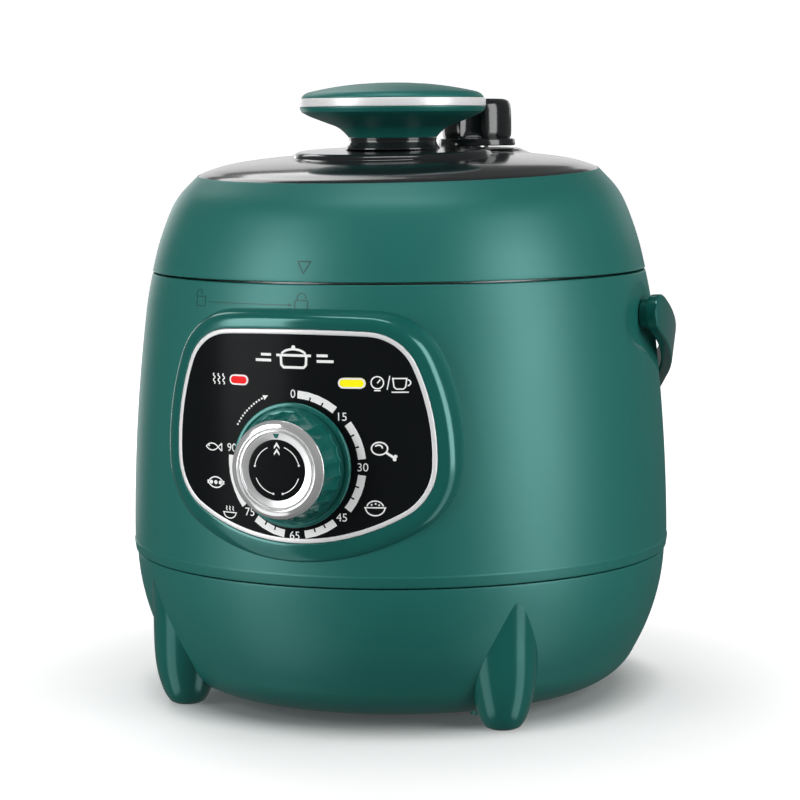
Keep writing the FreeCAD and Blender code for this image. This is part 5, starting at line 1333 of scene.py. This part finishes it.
class COOKER_OT_print(bpy.types.Operator):
    """Lay the minute scale, its numbers and the plain symbols on the panel"""

    bl_idname = "cooker.print"
    bl_label = "Panel print"

    def execute(self, context):
        s = context.scene.cooker.panel
        self.scale_print(s)
        self.symbols()
        self.lamp_frames()
        self.direction_dots()
        return {"FINISHED"}

    def scale_print(self, s):
        outer, width = s.scale / MM, s.scale_width / MM
        marks = Stencil()
        for start, end in ((4, 38), (53, 84), (97, 128), (143, 171), (189, 217), (232, 275)):
            pieces = np.linspace(start, end, 4)
            marks.curve(0, DIAL_Z, outer - width * 0.27, start, end, width * 0.54)
            for a, b in zip(pieces, pieces[1:]):
                marks.curve(0, DIAL_Z, outer - width * 0.77, a + (0 if a == start else 0.7),
                            b - (0 if b == end else 0.7), width * 0.47)
        numbers = {"0": 0, "15": 46, "30": 90.5, "45": 136, "65": 180, "75": 225, "90": 281}
        for words, degrees in numbers.items():
            turn = math.radians(degrees)
            away = outer - width * 0.45 + (0.4 if words == "90" else 0.0)
            marks.text(words, away * math.sin(turn), DIAL_Z + away * math.cos(turn), s.digit / MM)
        piece = marks.lay("minute_scale", on_panel, 0.05)
        settle(piece, "body", "white_print", crease=40.0)

    def symbols(self):
        marks = Stencil()
        for draw, x, z, scale in (
                (self.pot, 0.4, 148.8, 1.15), (self.waves, -32.9, 139.3, 0.95),
                (self.gauge, 33.0, 139.6, 1.0), (self.cup, 41.4, 139.2, 1.0), (self.meat, 35.2, 113.8, 1.15),
                (self.rice, 31.8, 91.8, 1.0), (self.fish, -36.0, 112.5, 0.9), (self.beans, -35.2, 98.6, 1.0),
                (self.soup, -28.6, 87.3, 0.84)):
            marks.at(x, z, scale)
            draw(marks)
        piece = marks.lay("panel_symbols", on_panel, 0.05)
        settle(piece, "body", "white_print", crease=40.0)

    def lamp_frames(self):
        """The white frame round each lamp, which covers the lens's edge."""
        frames = Stencil()
        for node, _, reach in LAMPS:
            frames.stroke(pill(middle(node, "x"), reach, 1.72), 0.6, closed=True)
        settle(frames.lay("lamp_frames", on_panel, 0.3), "body", "white_print", crease=40.0)

    def pot(self, marks):
        """A pot with its lid between two lines."""
        marks.stroke([(-4.6, 0.6), (-4.4, -2.6), (-3.6, -3.4), (3.6, -3.4), (4.4, -2.6), (4.6, 0.6)], 0.85)
        marks.stroke([(-6.2, 0.6), (6.2, 0.6)], 0.85)
        marks.curve(0, 0.4, 4.5, -72, 72, 0.75, 0.5)
        marks.disc(0, 3.3, 0.7)
        for side in (-1, 1):
            marks.stroke([(side * 8.2, -1.2), (side * 14.0, -1.2)], 0.9)
            marks.stroke([(side * 8.2, 0.7), (side * 12.0, 0.7)], 0.9)

    def waves(self, marks):
        """Three rising waves."""
        for x in (-2.4, 0.0, 2.4):
            marks.stroke([(x + 0.5 * math.sin(t * 2.1), t * 0.72 - 2.2) for t in np.linspace(0, 6, 13)], 0.5)

    def gauge(self, marks):
        """A pressure gauge."""
        marks.curve(0, 0, 2.3, 0, 360, 0.5)
        marks.stroke([(0.0, -0.2), (1.1, 1.2)], 0.5)
        marks.stroke([(-1.2, -3.0), (1.2, -3.0)], 0.5)
        marks.stroke([(3.6, -2.6), (4.6, 2.6)], 0.42)

    def cup(self, marks):
        """A cup on its saucer."""
        marks.stroke([(-2.7, 2.0), (-2.3, -1.2), (-1.5, -2.0), (1.1, -2.0), (1.9, -1.2), (2.3, 2.0)], 0.5)
        marks.stroke([(-3.0, 2.0), (2.6, 2.0)], 0.5)
        marks.stroke([(-3.2, -3.2), (3.0, -3.2)], 0.5)
        marks.curve(2.6, 0.4, 1.1, 0, 180, 0.5)

    def meat(self, marks):
        """Meat on the bone."""
        marks.curve(-1.4, 0.6, 2.6, 0, 360, 0.5, 0.8)
        marks.curve(-1.7, 0.8, 1.2, -60, 100, 0.5, 0.8)
        marks.stroke([(0.8, -0.8), (3.2, -2.4)], 0.8)
        marks.disc(3.7, -2.0, 0.6)
        marks.disc(3.4, -3.0, 0.6)

    def rice(self, marks):
        """Rice in a bowl."""
        marks.curve(0, 0, 3.6, 90, 270, 0.5, 0.85)
        marks.stroke([(-4.1, 0), (4.1, 0)], 0.5)
        marks.curve(0, 0.1, 3.1, -80, 80, 0.5, 0.8)
        for x, z in ((-1.3, 1.1), (0.2, 1.5), (1.5, 1.0)):
            marks.disc(x, z, 0.34)

    def fish(self, marks):
        """A fish."""
        marks.curve(-0.8, -2.3, 4.0, -55, 55, 0.5, 0.95)
        marks.curve(-0.8, 2.3, 4.0, 125, 235, 0.5, 0.95)
        marks.stroke([(2.4, 0.0), (4.4, 1.7)], 0.5)
        marks.stroke([(4.4, 1.7), (4.4, -1.7)], 0.5)
        marks.stroke([(4.4, -1.7), (2.4, 0.0)], 0.5)
        marks.disc(-2.5, 0.4, 0.4)

    def beans(self, marks):
        """Beans in a pod."""
        marks.curve(0, -1.9, 4.2, -72, 72, 0.5, 0.95)
        marks.curve(0, 1.9, 4.2, 108, 252, 0.5, 0.95)
        for x in (-2.2, 0.0, 2.2):
            marks.disc(x, 0.0, 0.8)

    def soup(self, marks):
        """Soup in a deep bowl with steam."""
        marks.curve(0, 0, 3.4, 90, 270, 0.5, 0.8)
        marks.stroke([(-3.9, 0), (3.9, 0)], 0.5)
        for x in (-1.8, 0.0, 1.8):
            marks.stroke([(x + 0.3 * math.sin(t * 2.1), 0.8 + t * 0.42) for t in np.linspace(0, 5, 9)], 0.42)

    def direction_dots(self):
        """The dotted arrow that shows which way the timer turns."""
        away, start, sweep, tip = 28.3, math.radians(149.0), math.radians(-31.0), math.radians(-24.5)
        holder = fresh("turn_arrow", [(0, 0, 0), (0.001, 0, 0), (0, 0.001, 0)], [(0, 1, 2)])
        run_tree(holder, dots_tree(), {
            "Count": 12, "Radius": away, "Start": start, "Sweep": sweep, "Dot": 0.42,
            "Material": finish("white_print")})
        dots = Stencil()
        for face in holder.data.polygons:
            spots = [holder.data.vertices[i].co for i in face.vertices]
            dots.polygon([(p.x, p.y + DIAL_Z) for p in spots])
        bpy.data.objects.remove(holder)
        head = np.array([away * math.sin(tip), DIAL_Z + away * math.cos(tip)])
        ahead = np.array([math.cos(tip), -math.sin(tip)])
        side = np.array([-ahead[1], ahead[0]])
        dots.polygon([head + ahead * 1.3, head - ahead * 0.9 + side * 1.0, head - ahead * 0.9 - side * 1.0])
        piece = dots.lay("turn_arrow_print", on_panel, 0.05)
        settle(piece, "body", "white_print", crease=40.0)


class COOKER_OT_lamps(bpy.types.Operator):
    """Build the two lamp lenses"""

    bl_idname = "cooker.lamps"
    bl_label = "Lamps"

    def execute(self, context):
        section = ((1.95, -3.9), (1.95, 0.12), (1.7, 0.17), (1.2, 0.19), (0.5, 0.2))
        for node, look, reach in LAMPS:
            rings = [(pill(middle(node, "x"), reach, half), lift) for half, lift in section]
            points = [(x, float(face_y(x)) - lift, z) for ring, lift in rings for x, z in ring]
            count = len(rings[0][0])
            faces = ring_faces([(i * count, True) for i in range(len(section))], count, False)
            faces += [tuple(range(count)), tuple(range(len(points) - count, len(points)))]
            lens = fresh(node + "_lens", points, faces)
            settle(lens, "body", look, node, crease=50.0, slot=look)
        return {"FINISHED"}


class COOKER_OT_timer(bpy.types.Operator):
    """Build the timer knob: flange, fluted grip, bright ring and black disc with its pointer"""

    bl_idname = "cooker.timer"
    bl_label = "Timer knob"

    def execute(self, context):
        s = context.scene.cooker.panel
        flange, back = s.flange / MM, DIAL_BACK
        root, tip = 21.0, 19.2
        self.grip(s, root, tip, back + 2.4, DIAL_TIP)
        skirt = self.turned_forward("timer_flange", rounded([
            (3.0, 0.0), (flange, 0.0, 0.7), (flange, 2.2, 0.7), (flange - 1.4, 2.4, 0.4),
            (root + 0.8, 2.0, 0.3), (root + 0.2, 2.4), (root - 1.2, 2.9), (3.0, 2.9)]), back, 200)
        settle(skirt, "dial", "green_gloss", crease=35.0, slot="green_gloss")
        face = DIAL_TIP + 0.05
        ring = self.turned_forward("timer_ring_skin", rounded([
            (11.7, 0.0), (18.85, 0.0, 0.2), (18.85, 0.55, 0.3), (17.6, 1.6, 1.2), (16.2, 2.2, 0.6),
            (15.6, 2.2, 0.2), (15.5, 1.4, 0.1), (15.1, 1.4, 0.1), (15.0, 2.1, 0.2), (14.2, 2.1, 0.15),
            (14.1, 1.8), (14.0, 1.75), (11.8, 1.3), (11.7, 1.25)]), face, 200)
        settle(ring, "dial", "bright", "timer_knob_ring", crease=30.0, slot="bright")
        plate = self.turned_forward("timer_silver_face", rounded([
            (11.65, 1.2), (14.05, 1.72), (14.05, 1.82, 0.05), (11.65, 1.42, 0.05)]), face, 160)
        settle(plate, "dial", "dial_silver", crease=30.0, slot="bright")
        disc = self.turned_forward("timer_disc_skin", rounded([
            (0.0, 0.0), (11.6, 0.0), (11.6, 1.15, 0.25), (10.8, 1.2, 0.4), (0.0, 1.3)],
            closed=False), face, 160)
        settle(disc, "dial", "panel_black", "timer_knob_disc", crease=30.0, slot="black_gloss")
        self.marks(face)
        return {"FINISHED"}

    def turned_forward(self, name, profile, back, steps):
        """A profile of (radius, distance forwards) turned about the timer's axis."""
        points, faces = turned(profile, steps)
        spots = np.stack([points[:, 0], -back - points[:, 2], DIAL_Z + points[:, 1]], 1)
        return fresh(name, spots, faces)

    def grip(self, s, root, tip, back, front):
        """One flute of the grip, repeated round the axis by a node tree."""
        count, deep = s.flutes, s.flute_depth / MM
        half = math.pi / count
        across = np.linspace(-1.0, 1.0, 9)
        levels = [(0.0, root, 1.0), (0.25, root - 0.1, 1.0), (0.5, (root + tip) / 2, 1.0),
                  (0.8, tip + 0.3, 1.0), (0.93, tip + 0.05, 0.8), (0.98, tip - 0.15, 0.45),
                  (1.0, tip - 0.6, 0.2)]
        spots, faces = [], []
        for along, radius, strength in levels:
            y = -(back + (front - back) * along)
            for u in across:
                reach = radius - deep * strength * (1 - u * u)
                spots.append((reach * math.sin(u * half), y, reach * math.cos(u * half)))
        wide = len(across)
        for i in range(len(levels) - 1):
            faces += [(i * wide + k, i * wide + k + 1, (i + 1) * wide + k + 1, (i + 1) * wide + k)
                      for k in range(wide - 1)]
        for level, y in ((0, back), (len(levels) - 1, front)):
            first = level * wide
            inner = len(spots)
            spots += [(8.0 * math.sin(u * half), -y, 8.0 * math.cos(u * half)) for u in across]
            faces += [(first + k, first + k + 1, inner + k + 1, inner + k) for k in range(wide - 1)]
        low, high = len(spots) - 2 * wide, len(spots) - wide
        faces += [(low + k, low + k + 1, high + k + 1, high + k) for k in range(wide - 1)]
        grip = bpy.data.objects.new("timer_grip_skin", bpy.data.meshes.new("timer_grip_skin"))
        grip.data.from_pydata((np.array(spots) * MM).tolist(), [], faces)
        bpy.context.scene.collection.objects.link(grip)
        run_tree(grip, repeat_tree(), {"Count": count, "Material": finish("green_gloss")})
        form = bmesh.new()
        form.from_mesh(grip.data)
        bmesh.ops.remove_doubles(form, verts=form.verts, dist=2e-6)
        bmesh.ops.recalc_face_normals(form, faces=form.faces)
        bmesh.ops.translate(form, verts=form.verts, vec=(0.0, 0.0, DIAL_Z * MM))
        form.to_mesh(grip.data)
        form.free()
        settle(grip, "dial", "green_gloss", "timer_knob", crease=24.0, slot="green_gloss")

    def marks(self, face):
        """The pointer on the ring and the arrows on the disc."""
        def on_disc(u, v):
            away = np.hypot(u, v - DIAL_Z)
            lift = np.where(away > 11.63, 1.35 + (away - 11.65) * 0.17, 1.3 - 0.0085 * away)
            outward = np.stack([0 * u, -1 + 0 * u, 0 * u], 1)
            return np.stack([u, -face - lift, v], 1), outward

        white = Stencil()
        for foot in (8.4, 6.0):
            white.at(0.0, DIAL_Z + foot)
            for side in (1.15, -1.15):
                white.polygon([(0.0, 2.3), (side, 0.5), (side, -0.4), (0.0, 0.9)])
        white.at(0.0, 0.0)
        for start, end in ((19, 77), (166, 108), (190, 249), (336, 278)):
            white.curve(0.0, DIAL_Z, 9.2, start, end, 0.34)
            turn = math.radians(end if end in (77, 278) else start)
            white.disc(9.2 * math.sin(turn), DIAL_Z + 9.2 * math.cos(turn), 0.42)
        settle(white.lay("timer_arrows", on_disc, 0.05), "dial", "white_print", crease=40.0)
        green = Stencil()
        green.at(0.0, DIAL_Z)
        green.polygon([(-1.35, 13.95), (1.35, 13.95), (0.55, 12.2), (-0.55, 12.2)])
        settle(green.lay("timer_pointer", on_disc, 0.1), "dial", "green_gloss", crease=40.0)


class COOKER_OT_marks(bpy.types.Operator):
    """Raise the lock symbols and the line between them, with its arrowhead, on the shell"""

    bl_idname = "cooker.marks"
    bl_label = "Lock symbols"

    def execute(self, context):
        marks = Stencil()
        for x, shackle in ((0.0, 0.0), (-49.5, 1.7)):
            case = [(x - 2.7, 166.2), (x + 2.7, 166.2), (x + 2.7, 169.8), (x - 2.7, 169.8)]
            marks.stroke(case, 0.4, closed=True)
            marks.curve(x - shackle, 170.6, 1.8, -90, 90, 0.4, 1.1)
            marks.stroke([(x - 1.8 - shackle, 169.8), (x - 1.8 - shackle, 170.6)], 0.4)
        marks.stroke([(x, 168.0) for x in np.linspace(-45.5, -5.0, 40)], 0.3)
        marks.polygon([(-3.8, 168.0), (-5.4, 168.7), (-5.4, 167.3)])
        settle(marks.lay("lock_symbols", on_barrel, 0.09), "body", "green_mark", crease=40.0)
        return {"FINISHED"}


class COOKER_OT_lid_arrow(bpy.types.Operator):
    """Raise the arrow on the front of the lid that points at the lock symbols"""

    bl_idname = "cooker.lid_arrow"
    bl_label = "Lid arrow"

    def execute(self, context):
        foot, slope, sunk, girth = 103.4, 0.243, 0.02, 102.0

        def on_lid(u, v):
            """The lid's side near its foot; u is the distance round and v the height."""
            radius = foot - (v - LID_FOOT) * slope - sunk
            turn = u / girth
            outward = np.stack([np.sin(turn), -np.cos(turn), 0.24 + 0 * u], 1)
            return np.stack([radius * np.sin(turn), -radius * np.cos(turn), v], 1), outward

        arrow = Stencil()
        arrow.stroke([(-2.7, 184.6), (2.7, 184.6), (0.0, 179.9)], 0.5, closed=True)
        settle(arrow.lay("lid_arrow", on_lid, 0.14), "lid", "green_mark", crease=40.0)
        return {"FINISHED"}


# ---------------------------------------------------------------- handle and inlet
class COOKER_OT_handle(bpy.types.Operator):
    """Build the swinging handle: a flat band with round ends and a boss at each pivot"""

    bl_idname = "cooker.handle"
    bl_label = "Carry handle"

    def execute(self, context):
        s = context.scene.cooker.handle
        half, thick, edge = s.half / MM, s.thick / MM, s.edge / MM
        rows, points = [], []
        for spot, outward in self.course(s):
            wide = math.sqrt(max(half * half - min(0.0, spot[1]) ** 2, 0.01))
            soft = min(edge, wide * 0.8)
            section = rounded([(-thick / 2, -wide, soft), (thick / 2, -wide, soft), (thick / 2, wide, soft),
                               (-thick / 2, wide, soft)], count=6)
            rows.append((len(points), True))
            points += [(spot[0] + outward[0] * off, spot[1] + outward[1] * off, z) for off, z in section]
        count = rows[1][0]
        faces = ring_faces(rows, count, False)
        faces += [tuple(range(count)), tuple(range(rows[-1][0], rows[-1][0] + count))]
        for side in (-1, 1):
            start = len(points)
            inner, outer = 104.5, 108.6
            boss = [(3.05, inner), (6.0, inner, 0.4), (6.0, outer), (3.05, outer)]
            shape, boss_faces = turned(rounded(boss), 48)
            points += [(side * p[2], p[0], p[1]) for p in shape]
            faces += [tuple(start + i for i in f) for f in boss_faces]
        lean = np.array(Matrix.Rotation(-s.rest, 3, "X"))
        spots = np.array(points) @ lean.T + (0.0, PIVOT_Y, PIVOT_Z)
        handle = fresh("carry_handle_skin", spots, faces)
        settle(handle, "handle", "green_gloss", "carry_handle", crease=38.0, slot="green_gloss")
        return {"FINISHED"}

    def course(self, s):
        """Points along the middle of the band, seen from above, each with its outward direction."""
        hoop, centre, half = s.hoop / MM, s.centre / MM, s.half / MM
        lean = (s.arm / MM - centre) / hoop
        back = (s.reach / MM - hoop - centre * lean) / (1 - lean)
        grip = hoop - (back - centre) * lean
        first = math.asin(-(centre + half - 0.02) / hoop)
        turn = math.asin(lean)
        tip = [first + (half / hoop) * (1 - math.cos(t)) for t in np.linspace(0.05, math.pi / 2, 16)]
        right = [((hoop * math.cos(t), centre + hoop * math.sin(t)), (math.cos(t), math.sin(t)))
                 for t in tip + np.linspace(tip[-1], turn, 30)[1:].tolist()]
        right += [((grip * math.cos(t), back + grip * math.sin(t)), (math.cos(t), math.sin(t)))
                  for t in np.linspace(turn, math.pi / 2, 40)]
        left = [((-spot[0], spot[1]), (-outward[0], outward[1])) for spot, outward in right[-2::-1]]
        return right + left


class COOKER_OT_carried_over(bpy.types.Operator):
    """Give every frame node that stays in view its finish"""

    bl_idname = "cooker.carried_over"
    bl_label = "Frame node finishes"

    def execute(self, context):
        looks = {"green_satin": "green_satin", "green_gloss": "green_gloss", "black_gloss": "panel_black"}
        for part in frame["record"]["subparts"]:
            node = frame["nodes"][part["node"]]
            slot = part["material_slot"]
            look = finish(looks.get(slot, slot))
            node.data.materials.clear()
            node.data.materials.append(look)
        return {"FINISHED"}


# ---------------------------------------------------------------- stage
class COOKER_OT_stage(bpy.types.Operator):
    """Build the pale floor and backdrop, the softboxes and the camera"""

    bl_idname = "cooker.stage"
    bl_label = "Stage, light and camera"

    def execute(self, context):
        s = context.scene.cooker.studio
        scene = context.scene
        scene.view_settings.view_transform = "Standard"
        world = bpy.data.worlds.new("Studio")
        scene.world = world
        world.use_nodes = True
        tree = world.node_tree
        sky = tree.nodes["Background"]
        sky.inputs["Color"].default_value = (1.0, 1.0, 1.0, 1.0)
        seen = tree.nodes.new("ShaderNodeLightPath")
        strength = tree.nodes.new("ShaderNodeMapRange")
        strength.inputs["To Min"].default_value = s.sky
        strength.inputs["To Max"].default_value = 1.0
        tree.links.new(seen.outputs["Is Camera Ray"], strength.inputs["Value"])
        tree.links.new(strength.outputs["Result"], sky.inputs["Strength"])
        floor = self.sweep()
        floor.visible_glossy = False
        floor.visible_diffuse = False
        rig.stage(floor)
        self.camera(scene, s)
        self.lights(s)
        return {"FINISHED"}

    def sweep(self):
        """A floor that curves up into a backdrop behind the object."""
        half, back, bend = 6000.0, 5000.0, 1000.0
        wall = back + bend
        path = [(-half, 0.0), (back, 0.0)] + arc((back, 0.0), (wall, bend), bend, 16)
        path += [(wall, bend), (wall, back)]
        points = [(x, y, z) for x in (-half, half) for y, z in path]
        count = len(path)
        faces = [(i, i + 1, count + i + 1, count + i) for i in range(count - 1)]
        floor = fresh("studio_floor", points, faces)
        floor.data.shade_smooth()
        floor.data.materials.append(finish("floor"))
        return floor

    def camera(self, scene, s):
        data = bpy.data.cameras.new("Camera")
        data.lens = s.lens
        data.sensor_width = 36.0
        camera = bpy.data.objects.new("Camera", data)
        scene.collection.objects.link(camera)
        scene.camera = camera
        camera.matrix_world = (
            Matrix.Translation((s.distance * math.sin(s.turn), -s.distance * math.cos(s.turn), s.height))
            @ Matrix.Rotation(s.turn, 4, "Z") @ Matrix.Rotation(math.pi / 2 - s.pitch, 4, "X")
            @ Matrix.Rotation(-s.roll, 4, "Z"))

    def softbox(self, name, azimuth, elevation, distance, width, height, power):
        """An area light that looks at the object; azimuth 0 is in front, 90 to the right."""
        data = bpy.data.lights.new(name, "AREA")
        data.shape = "RECTANGLE"
        data.size, data.size_y = width, height
        data.energy = power
        light = bpy.data.objects.new(name, data)
        light.visible_camera = False
        bpy.context.scene.collection.objects.link(light)
        a, e = math.radians(azimuth), math.radians(elevation)
        aim = Vector((0.0, 0.0, AIM_HEIGHT))
        spot = aim + distance * Vector((math.sin(a) * math.cos(e), -math.cos(a) * math.cos(e), math.sin(e)))
        light.location = spot
        light.rotation_euler = (aim - spot).to_track_quat("-Z", "Y").to_euler()

    def lights(self, s):
        for name, azimuth, elevation, distance, width, height, power in (
                ("RightFront", 77.0, 13.0, 1.6, 0.8, 1.4, 1.0),
                ("LeftFront", -37.0, 14.0, 1.6, 0.75, 1.3, 0.9),
                ("Overhead", 10.0, 80.0, 1.6, 1.0, 0.3, 0.3),
                ("Behind", 196.0, 13.0, 1.9, 2.6, 0.55, 0.2),
                ("BehindLeft", 222.0, 38.0, 1.7, 0.9, 0.6, 0.22),
                ("LeftRim", 227.0, 2.0, 1.0, 0.3, 0.5, 0.05),
                ("LowLeft", -38.0, -30.0, 1.3, 0.7, 1.0, 0.12),
                ("LowRight", 80.0, -30.0, 1.3, 0.6, 1.0, 0.13)):
            self.softbox(name, azimuth, elevation, distance, width, height, s.key * power)


# ---------------------------------------------------------------- panel in the sidebar
BUILDERS = (
    COOKER_OT_stage, COOKER_OT_carried_over, COOKER_OT_shell, COOKER_OT_bowl, COOKER_OT_legs, COOKER_OT_lid,
    COOKER_OT_cover, COOKER_OT_knob, COOKER_OT_valve, COOKER_OT_bezel, COOKER_OT_print, COOKER_OT_lamps,
    COOKER_OT_timer, COOKER_OT_marks, COOKER_OT_lid_arrow, COOKER_OT_handle)
GROUPS = (CookerBody, CookerLid, CookerPanel, CookerHandle, CookerFinish, CookerStudio, CookerSettings)


class COOKER_PT_builder(bpy.types.Panel):
    """Lists the cooker's settings and its pieces"""

    bl_idname = "COOKER_PT_builder"
    bl_label = "Pressure Cooker"
    bl_space_type = "VIEW_3D"
    bl_region_type = "UI"
    bl_category = "Cooker"

    def draw(self, context):
        for group in ("body", "lid", "panel", "handle", "finish", "studio"):
            settings = getattr(context.scene.cooker, group)
            box = self.layout.box()
            box.label(text=group.title())
            for name in settings.bl_rna.properties.keys():
                if name not in ("rna_type", "name"):
                    box.prop(settings, name)
        for builder in BUILDERS:
            self.layout.operator(builder.bl_idname)


def register():
    for kind in GROUPS + BUILDERS + (COOKER_PT_builder,):
        bpy.utils.register_class(kind)
    bpy.types.Scene.cooker = PointerProperty(type=CookerSettings)


def unregister():
    del bpy.types.Scene.cooker
    for kind in reversed(GROUPS + BUILDERS + (COOKER_PT_builder,)):
        bpy.utils.unregister_class(kind)


def main():
    register()
    for builder in BUILDERS:
        group, name = builder.bl_idname.split(".")
        getattr(getattr(bpy.ops, group), name)()
    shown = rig.bounds()
    with open("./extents.json", "w") as sizes:
        json.dump({"frame": [list(c) for c in FRAME_BOX], "shown": [list(c) for c in shown]}, sizes)


if __name__ == "__main__":
    main()
